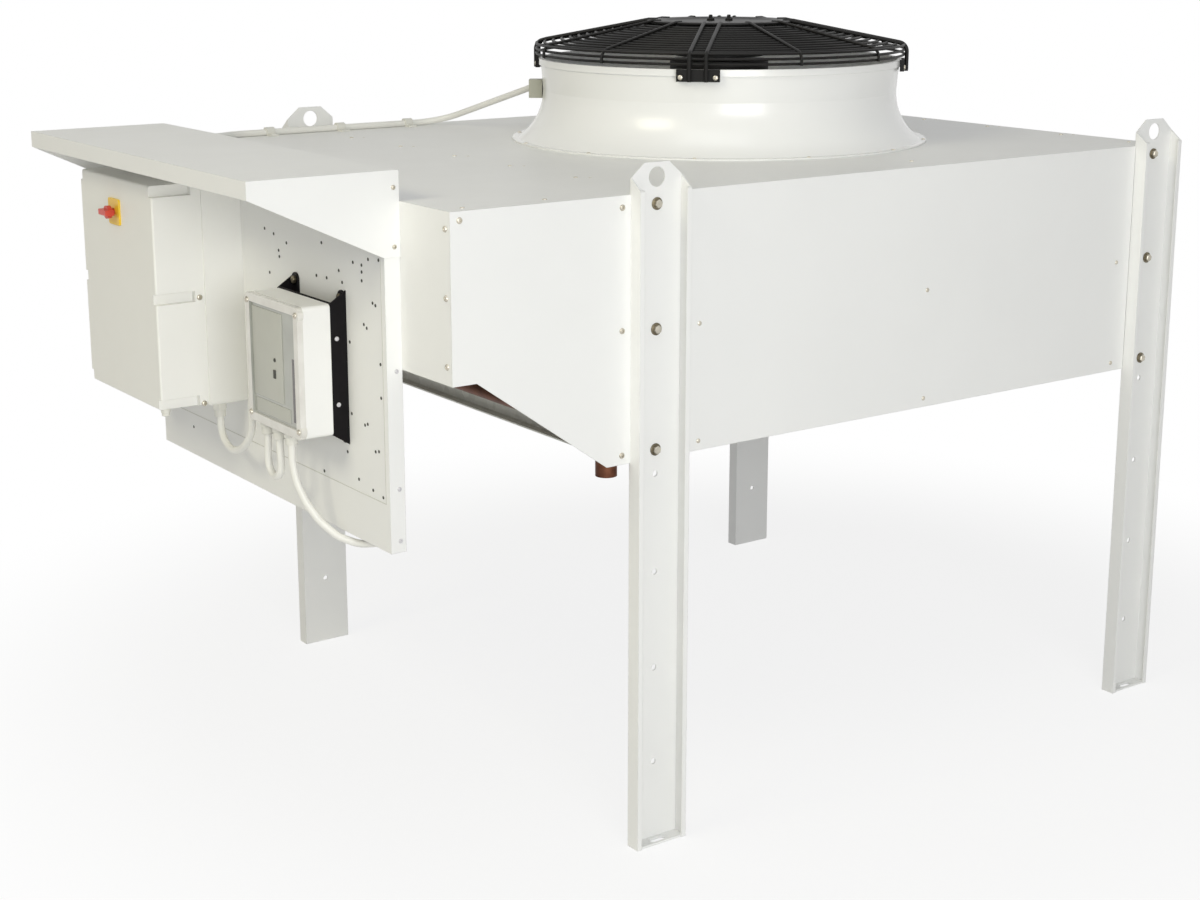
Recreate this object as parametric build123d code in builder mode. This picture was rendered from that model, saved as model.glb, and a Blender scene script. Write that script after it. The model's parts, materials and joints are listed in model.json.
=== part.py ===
"""Air-cooled condenser on four legs: a flat finned coil in a sheet-metal casing, one fan blowing up.

Millimetres, +Z up. X runs along the casing, from the pipe end with its control panel (-X) to the far
end (+X). The front of the casing faces -Y. The origin is on the ground, in the middle of the four
foot slots and below the fan's axis.
"""
import os
from math import cos, radians, sin, sqrt, tan

from build123d import *

os.makedirs("parts", exist_ok=True)

# Casing
SHEET = 2.0                 # thickness of every folded sheet
CASE_WIDTH = 926.0          # over the front and back faces
CASE_BOTTOM = 527.0         # height of the lower edges of the casing
CASE_HEIGHT = 342.0
END_INSET = 21.0            # the far end panel stands this far inside the legs' outer edges
HEADER_LENGTH = 260.0       # pipe compartment, from the legs' outer edges to its end
HEADER_HEIGHT = 208.0       # height of the panel that closes the compartment's end
HEADER_SHOULDER = 34.0      # level stretch of the side cover's lower edge, before its slant
HEADER_HEEL = 36.0          # level stretch of the same edge next to the leg
TOP_FOLD = 25.0             # depth of the top plate's folded rim
PANEL_FOLD = 18.0           # depth of the folds along the lower edges of the panels
PANEL_GAP = 1.0             # between a side panel's end and the leg beside it

# Legs
LEG_SPAN = 942.0            # between leg centres, along X
LEG_WEB = 80.0              # width of the web, which lies flush with the casing's faces
LEG_FLANGE = 20.0           # depth of the flanges, which point away from the casing
LEG_LIP = 7.0               # width of the lips that stiffen the flanges
EAR_RISE = 38.0             # the lifting ear stands this far above the casing
EAR_WIDTH = 38.0            # width of the ear at its top
EAR_SHOULDER = 18.0         # height of the ear's slanted corners
EYE_RADIUS = 12.5           # hole of the lifting ear
EYE_DROP = 18.5             # from the top of the ear to the eye's centre
FLANGE_SLANT = 15.0         # fall of the slanted tops of the flanges
LEG_HOLE_RADIUS = 4.0
LEG_HOLE_FIRST = 111.0      # height of the lowest spare hole
LEG_HOLE_SPACING = 132.0
LEG_HOLE_COUNT = 4
FOOT_THICKNESS = 3.0
FOOT_SLOT_LENGTH = 24.0
FOOT_SLOT_RADIUS = 5.0

# Coil and its pipes
COIL_HEIGHT = 120.0
COIL_LIFT = 4.0             # coil above the lower edge of the casing
TUBE_SPACING = 50.0
TUBE_RADIUS = 5.0
GAS_ROW = 100.0             # heights of the tube rows above the coil's underside
BEND_ROW = 67.0             # this one is the middle of the return bends
LIQUID_ROW = 34.0
BEND_RADIUS = 12.5
GAS_RADIUS = 14.0
LIQUID_RADIUS = 11.0
PIPE_WALL = 1.5
PIPE_FRONT_GAP = 24.0       # from the front face to the axis of the nearest pipe
PIPE_SHEET_GAP = 20.0       # from the tube sheet to the axis of the pipes
STUB_DROP = 18.0            # the pipe stubs end this far below the casing
SHEET_LIP = 14.0            # width of the lip along the lower edge of the tube sheet at the pipes

# Fan
THROAT_RADIUS = 273.0       # outside of the nozzle's narrowest part
NOZZLE_WALL = 3.0
NOZZLE_HEIGHT = 124.0       # from the casing's top to the rim
FLARE_HEIGHT = 76.0         # from the casing's top to the narrowest part
FLARE_SPREAD = 38.0         # the flare's foot lies this far outside the throat
NOZZLE_FLANGE = 10.0        # width of the flat flange around the foot of the flare
FLANGE_THICKNESS = 2.5
THROAT_LEAN = 3.0           # the wall above the throat leans out by this much
RIM_WIDTH = 3.0             # the rolled rim stands this far outside the wall
RIM_HEIGHT = 10.0
OPENING_CLEARANCE = 2.0     # between the nozzle's foot and the hole in the top plate
TIP_GAP = 8.0               # between the blade tips and the nozzle
BLADE_COUNT = 7
BLADE_LIFT = 35.0           # from the rotor's underside to the blades' middle
BLADE_THICKNESS = 5.0
BLADE_SINK = 12.0           # the blades' roots reach this far into the rotor
ROOT_CHORD, MID_CHORD, TIP_CHORD = 84.0, 112.0, 128.0
ROOT_ANGLE, MID_ANGLE, TIP_ANGLE = 40.0, 28.0, 20.0
ROTOR_RADIUS = 76.0
ROTOR_HEIGHT = 90.0
ROTOR_DROP = 3.0            # top of the rotor below the nozzle's rim
STATOR_RADIUS = 68.0
STATOR_GAP = 6.0
SHAFT_RADIUS = 9.0
SHAFT_GAP = 0.3
SHAFT_REACH = 60.0          # length of shaft inside the rotor

# Guard
GUARD_PLATE_RADIUS = 112.0
GUARD_PLATE_THICKNESS = 4.0
GUARD_RISE = 28.0           # from the nozzle's rim to the guard's outer corner
GUARD_CROWN = 29.0          # from that corner to the top of the guard's plate
BAR = 6.0                   # section of the arms' bars
BAR_GAP = 24.0              # between the centres of an arm's two bars
BAR_LAP = 14.0              # the bars reach this far onto the plate
BAR_CHAMFER = 3.0           # at the outer corner
WIRE = 4.0                  # section of the rings and of the single spokes
WIRE_BITE = 1.0             # rings and bars run this far into each other
ARM_ANGLE = 45.0
ARM_COUNT = 4
SPOKES_BETWEEN_ARMS = 2
SIDE_RING_COUNT = 3
TOP_RING_COUNT = 12
STUD_RADIUS = 3.0           # two studs that stand on the guard's plate
STUD_RISE = 8.0
STUD_SPACING = 28.0
STUD_ANGLE = -35.0          # direction from one stud to the other, round from +X
PAD_WIDTH, PAD_HEIGHT, PAD_DEPTH = 62.0, 17.0, 5.0      # feet of the guard
RIM_SEAT = 0.3              # between a piece seated on the nozzle and the nozzle's wall

# Control panel and its canopy
PANEL_DEPTH = 21.5
PANEL_HEIGHT = 477.0
PANEL_MARGIN = 40.0         # from the enclosure's far side to the panel's edge
CANOPY_RISE = 38.0          # the canopy stands this far above the casing
CANOPY_REACH = 178.5        # from the panel's face to the fascia
CANOPY_HEEL = 106.0         # height of the side plates at the panel
FASCIA = 22.0
RAIL_SPAN = 460.0           # between the middles of the rails behind the panel
RAIL_WIDTH = 40.0
RAIL_MARGIN = 10.0          # rails inside the upper and lower edges of the compartment's end

# Switch enclosure
BOX_WIDTH = 255.0
BOX_HEIGHT = 310.0
BOX_SIDE = 50.0             # from the panel's middle to the enclosure's near side
BOX_DROP = 50.0             # from the canopy's top to the enclosure's top
BOX_BASE = 57.0
BOX_LID = 70.0
BOX_ROUND = 6.0
LID_INSET = 2.0
POCKET_LENGTH = 56.0        # pockets in the lid's sides, for its screws
POCKET_DEPTH = 9.0
POCKET_HEIGHT = 15.0
SWITCH_DROP = 49.0          # from the enclosure's top to the switch's axis
SWITCH_PLATE = 36.0
SWITCH_PLATE_THICKNESS = 3.0
SWITCH_PLATE_ROUND = 3.0
SWITCH_SHAFT = 4.5
SWITCH_SHAFT_DEPTH = 18.0   # length of the switch's shaft inside the lid
SWITCH_STANDOFF = 5.0
SWITCH_KNOB = 9.0
GRIP_DEPTH, GRIP_LENGTH, GRIP_WIDTH = 12.0, 27.0, 8.0
GRIP_ROUND = 1.5

# Fan speed controller
UNIT_WIDTH = 145.0
UNIT_HEIGHT = 169.0
UNIT_SIDE = 100.0           # from the panel's middle to the controller's near side
UNIT_DROP = 175.0           # from the canopy's top to the controller's top
BRACKET_DEPTH = 23.0
BRACKET_FLARE = 15.0        # the bracket is this much taller at the panel, above and below
BRACKET_WALL = 2.5
UNIT_BASE = 38.0
UNIT_COVER = 8.0
UNIT_ROUND = 5.0
LOBE_RADIUS = 8.0           # round lobes for the cover's screws
LOBE_INSET = 5.0            # from the cover's sides to the lobes' axes
WINDOW_MARGIN = 11.0
WINDOW_DEPTH = 3.0

# Cables and what holds them
CABLE_RADIUS = 5.0
GLAND_RADIUS = 10.0
GLAND_NECK = 8.0            # radius of the round end
GLAND_LENGTH = 20.0
BOX_GLAND_BACK = 35.0       # gland under the enclosure, from the panel's face
BOX_GLAND_SIDE = 18.0       # and from the enclosure's near side
UNIT_GLAND_COUNT = 3        # under the controller, with one more in its near side
UNIT_GLAND_BACK = 28.0      # from the housing's back
UNIT_GLAND_SIDE = 14.0      # from the housing's near side to the first gland
UNIT_GLAND_SPACING = 34.0
SIDE_GLAND_LIFT = 37.0      # from the housing's underside
LOOP_RADIUS = 20.0          # short loop under the controller
LOOP_DROP = 36.0            # from the glands' ends to the loop's middle
LOOP_LEAD = 16.0            # straight run below the glands
LANE_INSET = 29.0           # the fan's cable lies this far inside the casing's back face
LANE_START = 151.0          # from the compartment's end to the start of that run
LANE_LENGTH = 375.0
LANE_LIFT = 16.0            # height at which the cable crosses the casing's edge
RISER_SIDE = 285.0          # from the panel's middle to the cable that climbs behind it
CLIP_WALL = 3.0
CLIP_LENGTH = 14.0
CLIP_FOOT = 12.0            # width of a clip's screw foot
CLIP_COUNT = 3
TERMINAL_ANGLE = 142.0      # fan terminal on the nozzle's wall, round from +X
TERMINAL_DROP = 35.0        # from the nozzle's rim to the terminal's top
TERMINAL_HEIGHT = 28.0
TERMINAL_DEPTH = 22.0
TERMINAL_WIDTH = 26.0
TERMINAL_LEAD = 60.0        # straight run of the cable before it enters

# Worked out from the values above
FACE_Y = CASE_WIDTH / 2
INNER_Y = FACE_Y - SHEET
CASE_TOP = CASE_BOTTOM + CASE_HEIGHT
LEG_X = LEG_SPAN / 2
WEB_IN_X = LEG_X - LEG_WEB / 2
WEB_OUT_X = LEG_X + LEG_WEB / 2
FAR_END_X = WEB_OUT_X - END_INSET
HEADER_END_X = -WEB_OUT_X - HEADER_LENGTH
HEADER_BOTTOM = CASE_TOP - HEADER_HEIGHT
EAR_TOP = CASE_TOP + EAR_RISE
NOZZLE_TOP = CASE_TOP + NOZZLE_HEIGHT
THROAT_Z = CASE_TOP + FLARE_HEIGHT
THROAT_IN = THROAT_RADIUS - NOZZLE_WALL
RIM_RADIUS = THROAT_RADIUS + THROAT_LEAN + RIM_WIDTH
TIP_RADIUS = THROAT_IN - TIP_GAP
ROTOR_TOP = NOZZLE_TOP - ROTOR_DROP
ROTOR_BOTTOM = ROTOR_TOP - ROTOR_HEIGHT
GUARD_SHOULDER = NOZZLE_TOP + GUARD_RISE
PLATE_BOTTOM = GUARD_SHOULDER + GUARD_CROWN - GUARD_PLATE_THICKNESS
CANOPY_TOP = CASE_TOP + CANOPY_RISE
PANEL_X = HEADER_END_X - PANEL_DEPTH
PANEL_HALF_WIDTH = BOX_SIDE + BOX_WIDTH + PANEL_MARGIN
PANEL_BOTTOM = CANOPY_TOP - SHEET - PANEL_HEIGHT


def save(piece, name):
    """Label a finished piece and write its file."""
    piece.label = name
    export_step(piece, f"parts/{name}.step")


def corner_box(low, high):
    """Size and centre of the box between two opposite corners."""
    size = tuple(b - a for a, b in zip(low, high))
    centre = tuple((a + b) / 2 for a, b in zip(low, high))
    return size, centre


# The flare is an arc that leaves the throat upright and ends on the flange
FLARE_RUN = FLARE_HEIGHT - FLANGE_THICKNESS
FLARE_RADIUS = (FLARE_SPREAD**2 + FLARE_RUN**2) / (2 * FLARE_SPREAD)


def flare_reach(height, inset=0.0):
    """Distance of the flare's surface from the fan's axis, on the outside or an inset from it."""
    return THROAT_RADIUS + FLARE_RADIUS - sqrt((FLARE_RADIUS + inset) ** 2 - (THROAT_Z - height) ** 2)


# Casing: top plate with a folded rim and a round opening under the fan
FLARE_FOOT_Z = CASE_TOP + FLANGE_THICKNESS
foot_in = flare_reach(CASE_TOP, NOZZLE_WALL)
top_low = (HEADER_END_X + SHEET, -INNER_Y, CASE_TOP - SHEET - TOP_FOLD)
top_high = (FAR_END_X - SHEET, INNER_Y, CASE_TOP)
top_size, top_centre = corner_box(top_low, top_high)
with BuildPart() as top_plate:
    with Locations(top_centre):
        Box(*top_size)
    with Locations((top_centre[0], 0, top_low[2] + TOP_FOLD / 2)):
        Box(top_size[0] - 2 * SHEET, top_size[1] - 2 * SHEET, TOP_FOLD, mode=Mode.SUBTRACT)
    with Locations((0, 0, CASE_TOP)):
        Cylinder(foot_in + OPENING_CLEARANCE, 4 * SHEET, mode=Mode.SUBTRACT)
save(top_plate.part, "top_plate")

# Side panels between the legs, folded inwards along their lower edge
SIDE_HALF = WEB_IN_X - PANEL_GAP
for side, name in ((-1, "front_panel"), (1, "back_panel")):
    with BuildPart() as side_panel:
        with BuildSketch(Plane.YZ.offset(-SIDE_HALF)):
            with BuildLine():
                Polyline(
                    (side * FACE_Y, CASE_TOP),
                    (side * FACE_Y, CASE_BOTTOM),
                    (side * (FACE_Y - PANEL_FOLD), CASE_BOTTOM),
                    (side * (FACE_Y - PANEL_FOLD), CASE_BOTTOM + SHEET),
                    (side * INNER_Y, CASE_BOTTOM + SHEET),
                    (side * INNER_Y, CASE_TOP),
                    close=True,
                )
            make_face()
        extrude(amount=2 * SIDE_HALF)
    save(side_panel.part, name)

# End panels between the two faces, at the far end and at the pipe compartment, folded the same way
for name, end_x, inward, bottom in (
    ("end_panel", FAR_END_X, -1, CASE_BOTTOM),
    ("header_end_panel", HEADER_END_X, 1, HEADER_BOTTOM),
):
    with BuildPart() as end_panel:
        with BuildSketch(Plane.XZ.offset(-INNER_Y)):
            with BuildLine():
                Polyline(
                    (end_x, CASE_TOP),
                    (end_x, bottom),
                    (end_x + inward * PANEL_FOLD, bottom),
                    (end_x + inward * PANEL_FOLD, bottom + SHEET),
                    (end_x + inward * SHEET, bottom + SHEET),
                    (end_x + inward * SHEET, CASE_TOP),
                    close=True,
                )
            make_face()
        extrude(amount=2 * INNER_Y)
    save(end_panel.part, name)

# Pipe compartment: two side covers with a slanted lower edge
for side, name in ((-1, "header_front_cover"), (1, "header_back_cover")):
    with BuildPart() as header_cover:
        with BuildSketch(Plane.XZ.offset(-side * FACE_Y)):
            with BuildLine():
                Polyline(
                    (HEADER_END_X, CASE_TOP),
                    (HEADER_END_X, HEADER_BOTTOM),
                    (HEADER_END_X + HEADER_SHOULDER, HEADER_BOTTOM),
                    (-WEB_OUT_X - HEADER_HEEL, CASE_BOTTOM),
                    (-WEB_OUT_X, CASE_BOTTOM),
                    (-WEB_OUT_X, CASE_TOP),
                    close=True,
                )
            make_face()
        extrude(amount=side * SHEET)
    save(header_cover.part, name)

# Legs: lipped channels with a lifting ear above and a slotted foot plate below
for end, end_name in ((-1, "left"), (1, "right")):
    for side, side_name in ((-1, "front"), (1, "back")):
        face = side * FACE_Y
        middle = end * LEG_X
        with BuildPart() as leg:
            # Channel drawn in plan: web, then a flange and its lip on each side
            with BuildSketch(Plane.XY):
                with Locations((middle, face - side * SHEET / 2)):
                    Rectangle(LEG_WEB, SHEET)
                for edge in (-1, 1):
                    with Locations((middle + edge * (LEG_WEB - SHEET) / 2, face + side * LEG_FLANGE / 2)):
                        Rectangle(SHEET, LEG_FLANGE)
                    lip_y = face + side * (LEG_FLANGE - SHEET / 2)
                    with Locations((middle + edge * (LEG_WEB - LEG_LIP) / 2, lip_y)):
                        Rectangle(LEG_LIP, SHEET)
            extrude(amount=EAR_TOP)
            # The flanges and lips end in a slant below the ear
            with BuildSketch(Plane.YZ.offset(middle - LEG_WEB / 2)):
                with BuildLine():
                    Polyline(
                        (face, EAR_TOP),
                        (face, EAR_TOP - EAR_SHOULDER),
                        (face + side * LEG_FLANGE, EAR_TOP - EAR_SHOULDER - FLANGE_SLANT),
                        (face + side * LEG_FLANGE, EAR_TOP),
                        close=True,
                    )
                make_face()
            extrude(amount=LEG_WEB, mode=Mode.SUBTRACT)
            # Slanted corners of the ear
            with BuildSketch(Plane.XZ.offset(-face - LEG_FLANGE)):
                for edge in (-1, 1):
                    with BuildLine():
                        Polyline(
                            (middle + edge * EAR_WIDTH / 2, EAR_TOP),
                            (middle + edge * LEG_WEB / 2, EAR_TOP),
                            (middle + edge * LEG_WEB / 2, EAR_TOP - EAR_SHOULDER),
                            close=True,
                        )
                    make_face()
            extrude(amount=2 * LEG_FLANGE, mode=Mode.SUBTRACT)
            # Foot plate between the flanges, with its slot
            with Locations((middle, face + side * (LEG_FLANGE - SHEET) / 2, FOOT_THICKNESS / 2)):
                Box(LEG_WEB - 2 * SHEET, LEG_FLANGE - SHEET, FOOT_THICKNESS)
            with BuildSketch(Plane.XY):
                with Locations((middle, face + side * LEG_FLANGE / 2)):
                    SlotOverall(FOOT_SLOT_LENGTH, 2 * FOOT_SLOT_RADIUS)
            extrude(amount=FOOT_THICKNESS, mode=Mode.SUBTRACT)
            # Lifting eye and the spare holes in the web
            with BuildSketch(Plane.XZ.offset(-face - LEG_FLANGE)):
                with Locations((middle, EAR_TOP - EYE_DROP)):
                    Circle(EYE_RADIUS)
                for k in range(LEG_HOLE_COUNT):
                    with Locations((middle, LEG_HOLE_FIRST + k * LEG_HOLE_SPACING)):
                        Circle(LEG_HOLE_RADIUS)
            extrude(amount=2 * LEG_FLANGE, mode=Mode.SUBTRACT)
        save(leg.part, f"leg_{side_name}_{end_name}")

# Coil: the finned block between the tube sheets
coil_low = (-WEB_OUT_X + SHEET, -INNER_Y + SHEET, CASE_BOTTOM + COIL_LIFT)
coil_high = (WEB_IN_X, INNER_Y - SHEET, CASE_BOTTOM + COIL_LIFT + COIL_HEIGHT)
coil_size, coil_centre = corner_box(coil_low, coil_high)
with BuildPart() as coil_block:
    with Locations(coil_centre):
        Box(*coil_size)
save(coil_block.part, "coil_block")

# Tube sheets at both ends of the coil, with flanges behind the legs' webs. The one in the pipe
# compartment carries the return bends that join pairs of tubes.
PIPE_SPAN = FACE_Y - PIPE_FRONT_GAP
TUBE_COUNT = int(2 * PIPE_SPAN / TUBE_SPACING) - 4
SHEET_TOP = CASE_TOP - SHEET - TOP_FOLD
for name, plate_x, fold_x in (
    ("tube_sheet_left", -WEB_OUT_X, -WEB_IN_X),
    ("tube_sheet_right", WEB_IN_X, FAR_END_X - SHEET),
):
    with BuildPart() as tube_sheet:
        with BuildSketch(Plane.XY.offset(CASE_BOTTOM + SHEET)):
            with Locations((plate_x + SHEET / 2, 0)):
                Rectangle(SHEET, 2 * INNER_Y)
            for side in (-1, 1):
                with Locations(((plate_x + fold_x) / 2, side * (INNER_Y - SHEET / 2))):
                    Rectangle(fold_x - plate_x, SHEET)
        extrude(amount=SHEET_TOP - CASE_BOTTOM - SHEET)
        if plate_x < 0:
            with BuildSketch(Plane.XY.offset(CASE_BOTTOM + SHEET)):
                with Locations((plate_x - SHEET_LIP / 2, 0)):
                    Rectangle(SHEET_LIP, 2 * (PIPE_SPAN - 2 * GAS_RADIUS))
            extrude(amount=SHEET)
            bend_z = coil_low[2] + BEND_ROW
            with BuildSketch(Plane.YZ.offset(plate_x)):
                with Locations((0, bend_z + BEND_RADIUS)):
                    with GridLocations(TUBE_SPACING, 1, TUBE_COUNT, 1):
                        Circle(TUBE_RADIUS)
            revolve(axis=Axis((plate_x, 0, bend_z), (0, -1, 0)), revolution_arc=180)
    save(tube_sheet.part, name)

# Headers: a pipe along the tube sheet with feeders into the coil and a stub that points down
PIPE_X = -WEB_OUT_X - PIPE_SHEET_GAP
STUB_BOTTOM = CASE_BOTTOM - STUB_DROP
for name, radius, height, stub_side in (
    ("gas_header", GAS_RADIUS, coil_low[2] + GAS_ROW, -1),
    ("liquid_header", LIQUID_RADIUS, coil_low[2] + LIQUID_ROW, 1),
):
    with BuildPart() as header:
        with BuildSketch(Plane.XZ.offset(-stub_side * PIPE_SPAN)):
            with Locations((PIPE_X, height)):
                Circle(radius)
        extrude(amount=stub_side * (2 * PIPE_SPAN - TUBE_SPACING))
        with BuildSketch(Plane.YZ.offset(-WEB_OUT_X)):
            with Locations((0, height)):
                with GridLocations(TUBE_SPACING, 1, TUBE_COUNT, 1):
                    Circle(TUBE_RADIUS)
        extrude(amount=-PIPE_SHEET_GAP)
        with BuildSketch(Plane.XY.offset(STUB_BOTTOM)):
            with Locations((PIPE_X, stub_side * PIPE_SPAN)):
                Circle(radius)
        extrude(amount=height - STUB_BOTTOM)
        with BuildSketch(Plane.XY.offset(STUB_BOTTOM)):
            with Locations((PIPE_X, stub_side * PIPE_SPAN)):
                Circle(radius - PIPE_WALL)
        extrude(amount=STUB_DROP, mode=Mode.SUBTRACT)
    save(header.part, name)

# Fan nozzle: flange, flare, throat and rolled rim, turned about the fan's axis
foot_out = THROAT_RADIUS + FLARE_SPREAD
flare_mid = (THROAT_Z + FLARE_FOOT_Z) / 2
rim_wall = THROAT_RADIUS + THROAT_LEAN
with BuildPart() as nozzle:
    with BuildSketch(Plane.XZ):
        with BuildLine():
            Polyline(
                (foot_in, CASE_TOP),
                (foot_out + NOZZLE_FLANGE, CASE_TOP),
                (foot_out + NOZZLE_FLANGE, FLARE_FOOT_Z),
                (foot_out, FLARE_FOOT_Z),
            )
            ThreePointArc((foot_out, FLARE_FOOT_Z), (flare_reach(flare_mid), flare_mid), (THROAT_RADIUS, THROAT_Z))
            Polyline(
                (THROAT_RADIUS, THROAT_Z),
                (rim_wall, NOZZLE_TOP - RIM_HEIGHT),
                (RIM_RADIUS, NOZZLE_TOP - RIM_HEIGHT),
                (RIM_RADIUS, NOZZLE_TOP),
                (rim_wall - NOZZLE_WALL, NOZZLE_TOP),
                (THROAT_IN, THROAT_Z),
            )
            ThreePointArc(
                (THROAT_IN, THROAT_Z),
                (flare_reach(flare_mid, NOZZLE_WALL), flare_mid),
                (foot_in, CASE_TOP),
            )
        make_face()
    revolve(axis=Axis.Z)
save(nozzle.part, "fan_nozzle")

# Fan: motor with its shaft, held by the guard's plate, and the turning rotor with twisted blades
with BuildPart() as motor:
    with BuildSketch(Plane.XY.offset(ROTOR_TOP + STATOR_GAP)):
        Circle(STATOR_RADIUS)
    extrude(amount=PLATE_BOTTOM - ROTOR_TOP - STATOR_GAP)
    with BuildSketch(Plane.XY.offset(ROTOR_TOP - SHAFT_REACH)):
        Circle(SHAFT_RADIUS)
    extrude(amount=SHAFT_REACH + STATOR_GAP)
save(motor.part, "fan_motor")

# The flat tips lie where their corners just reach the tip circle
TIP_REACH = sqrt(TIP_RADIUS**2 - (TIP_CHORD / 2 * cos(radians(TIP_ANGLE))) ** 2)
BLADE_Z = ROTOR_BOTTOM + BLADE_LIFT
with BuildPart() as blade:
    for reach, chord, angle in (
        (ROTOR_RADIUS - BLADE_SINK, ROOT_CHORD, ROOT_ANGLE),
        ((ROTOR_RADIUS + TIP_RADIUS) / 2, MID_CHORD, MID_ANGLE),
        (TIP_REACH, TIP_CHORD, TIP_ANGLE),
    ):
        with BuildSketch(Plane(origin=(reach, 0, BLADE_Z), x_dir=(0, 1, 0), z_dir=(1, 0, 0))):
            Ellipse(chord / 2, BLADE_THICKNESS / 2, rotation=angle)
    loft()
with BuildPart() as impeller:
    with BuildSketch(Plane.XY.offset(ROTOR_BOTTOM)):
        Circle(ROTOR_RADIUS)
    extrude(amount=ROTOR_HEIGHT)
    with PolarLocations(0, BLADE_COUNT):
        add(blade.part)
    with BuildSketch(Plane.XY.offset(ROTOR_TOP - SHAFT_REACH - SHAFT_GAP)):
        Circle(SHAFT_RADIUS + SHAFT_GAP)
    extrude(amount=SHAFT_REACH + SHAFT_GAP, mode=Mode.SUBTRACT)
save(impeller.part, "fan_impeller")

# Guard: a basket of rings carried by four arms of two bars each and single spokes between them
BAR_IN = RIM_RADIUS + PAD_DEPTH
BAR_OUT = BAR_IN + BAR
PAD_BOTTOM = NOZZLE_TOP - PAD_HEIGHT
SHOULDER_UNDER = GUARD_SHOULDER - BAR
guard_slope = (PLATE_BOTTOM - SHOULDER_UNDER) / (BAR_IN - GUARD_PLATE_RADIUS)


def guard_spoke(angle, width, offset, foot_z):
    """Outline of one bar, from its foot beside the rim up to the guard's plate."""
    along = Plane(
        origin=(0, 0, 0),
        x_dir=(cos(radians(angle)), sin(radians(angle)), 0),
        z_dir=(sin(radians(angle)), -cos(radians(angle)), 0),
    )
    inner = GUARD_PLATE_RADIUS - BAR_LAP
    with BuildSketch(along.offset(offset - width / 2)) as outline:
        with BuildLine():
            Polyline(
                (BAR_IN, foot_z),
                (BAR_OUT, foot_z),
                (BAR_OUT, GUARD_SHOULDER - BAR_CHAMFER),
                (BAR_OUT - BAR_CHAMFER, GUARD_SHOULDER),
                (GUARD_PLATE_RADIUS, PLATE_BOTTOM + BAR),
                (inner, PLATE_BOTTOM + BAR),
                (inner, PLATE_BOTTOM),
                (GUARD_PLATE_RADIUS, PLATE_BOTTOM),
                (BAR_IN, SHOULDER_UNDER),
                close=True,
            )
        make_face()
    return outline.sketch


side_step = (GUARD_RISE - BAR) / SIDE_RING_COUNT
top_step = (BAR_IN - GUARD_PLATE_RADIUS) / (TOP_RING_COUNT + 1)
ring_drop = WIRE / 2 - WIRE_BITE
ring_spots = [(BAR_IN - ring_drop, SHOULDER_UNDER - k * side_step) for k in range(SIDE_RING_COUNT)]
lowest_ring = ring_spots[-1][1]
for k in range(1, TOP_RING_COUNT + 1):
    ring_spots.append((BAR_IN - k * top_step, SHOULDER_UNDER + k * top_step * guard_slope - ring_drop))
with BuildPart() as guard:
    with BuildSketch(Plane.XY.offset(PLATE_BOTTOM)):
        Circle(GUARD_PLATE_RADIUS)
    extrude(amount=GUARD_PLATE_THICKNESS)
    with BuildSketch(Plane.XY.offset(PLATE_BOTTOM)):
        with Locations(Location((0, 0), STUD_ANGLE)):
            with GridLocations(STUD_SPACING, 1, 2, 1):
                Circle(STUD_RADIUS)
    extrude(amount=GUARD_PLATE_THICKNESS + STUD_RISE)
    for k in range(ARM_COUNT):
        arm_angle = ARM_ANGLE + k * 360 / ARM_COUNT
        for offset in (-BAR_GAP / 2, BAR_GAP / 2):
            extrude(guard_spoke(arm_angle, BAR, offset, PAD_BOTTOM), amount=BAR)
        for j in range(SPOKES_BETWEEN_ARMS):
            spoke_angle = arm_angle + (j + 1) * 360 / ARM_COUNT / (SPOKES_BETWEEN_ARMS + 1)
            extrude(guard_spoke(spoke_angle, WIRE, 0, lowest_ring - WIRE / 2), amount=WIRE)
    with BuildSketch(Plane.XZ):
        for reach, height in ring_spots:
            with Locations((reach, height)):
                Rectangle(WIRE, WIRE)
    revolve(axis=Axis.Z)
save(guard.part, "fan_guard")

# Feet of the guard: plates seated on the rolled rim, one under each arm
for k in range(ARM_COUNT):
    with BuildPart() as guard_foot:
        with BuildSketch(Plane.XY.offset(PAD_BOTTOM)):
            with Locations(Location((0, 0), ARM_ANGLE + k * 360 / ARM_COUNT)):
                with Locations((RIM_RADIUS, 0)):
                    Rectangle(2 * PAD_DEPTH, PAD_WIDTH)
            Circle(RIM_RADIUS + RIM_SEAT, mode=Mode.SUBTRACT)
        extrude(amount=PAD_HEIGHT)
    save(guard_foot.part, f"guard_foot_{k + 1}")

# Control panel: a shallow tray against the end of the pipe compartment
with BuildPart() as panel:
    with BuildSketch(Plane.XY.offset(PANEL_BOTTOM)):
        with Locations((PANEL_X + SHEET / 2, 0)):
            Rectangle(SHEET, 2 * PANEL_HALF_WIDTH)
        for side in (-1, 1):
            with Locations(((PANEL_X + HEADER_END_X) / 2, side * (PANEL_HALF_WIDTH - SHEET / 2))):
                Rectangle(PANEL_DEPTH, SHEET)
    extrude(amount=PANEL_HEIGHT)
save(panel.part, "control_panel")

# Rails that hold the panel off the end of the pipe compartment
for side, name in ((-1, "panel_rail_front"), (1, "panel_rail_back")):
    rail_y = side * RAIL_SPAN / 2
    rail_low = (PANEL_X + SHEET, rail_y - RAIL_WIDTH / 2, HEADER_BOTTOM + RAIL_MARGIN)
    rail_high = (HEADER_END_X, rail_y + RAIL_WIDTH / 2, CASE_TOP - RAIL_MARGIN)
    rail_size, rail_centre = corner_box(rail_low, rail_high)
    with BuildPart() as rail:
        with Locations(rail_centre):
            Box(*rail_size)
        with Locations((rail_centre[0] + SHEET, rail_centre[1], rail_centre[2])):
            Box(rail_size[0], rail_size[1] - 2 * SHEET, rail_size[2], mode=Mode.SUBTRACT)
    save(rail.part, name)

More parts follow.
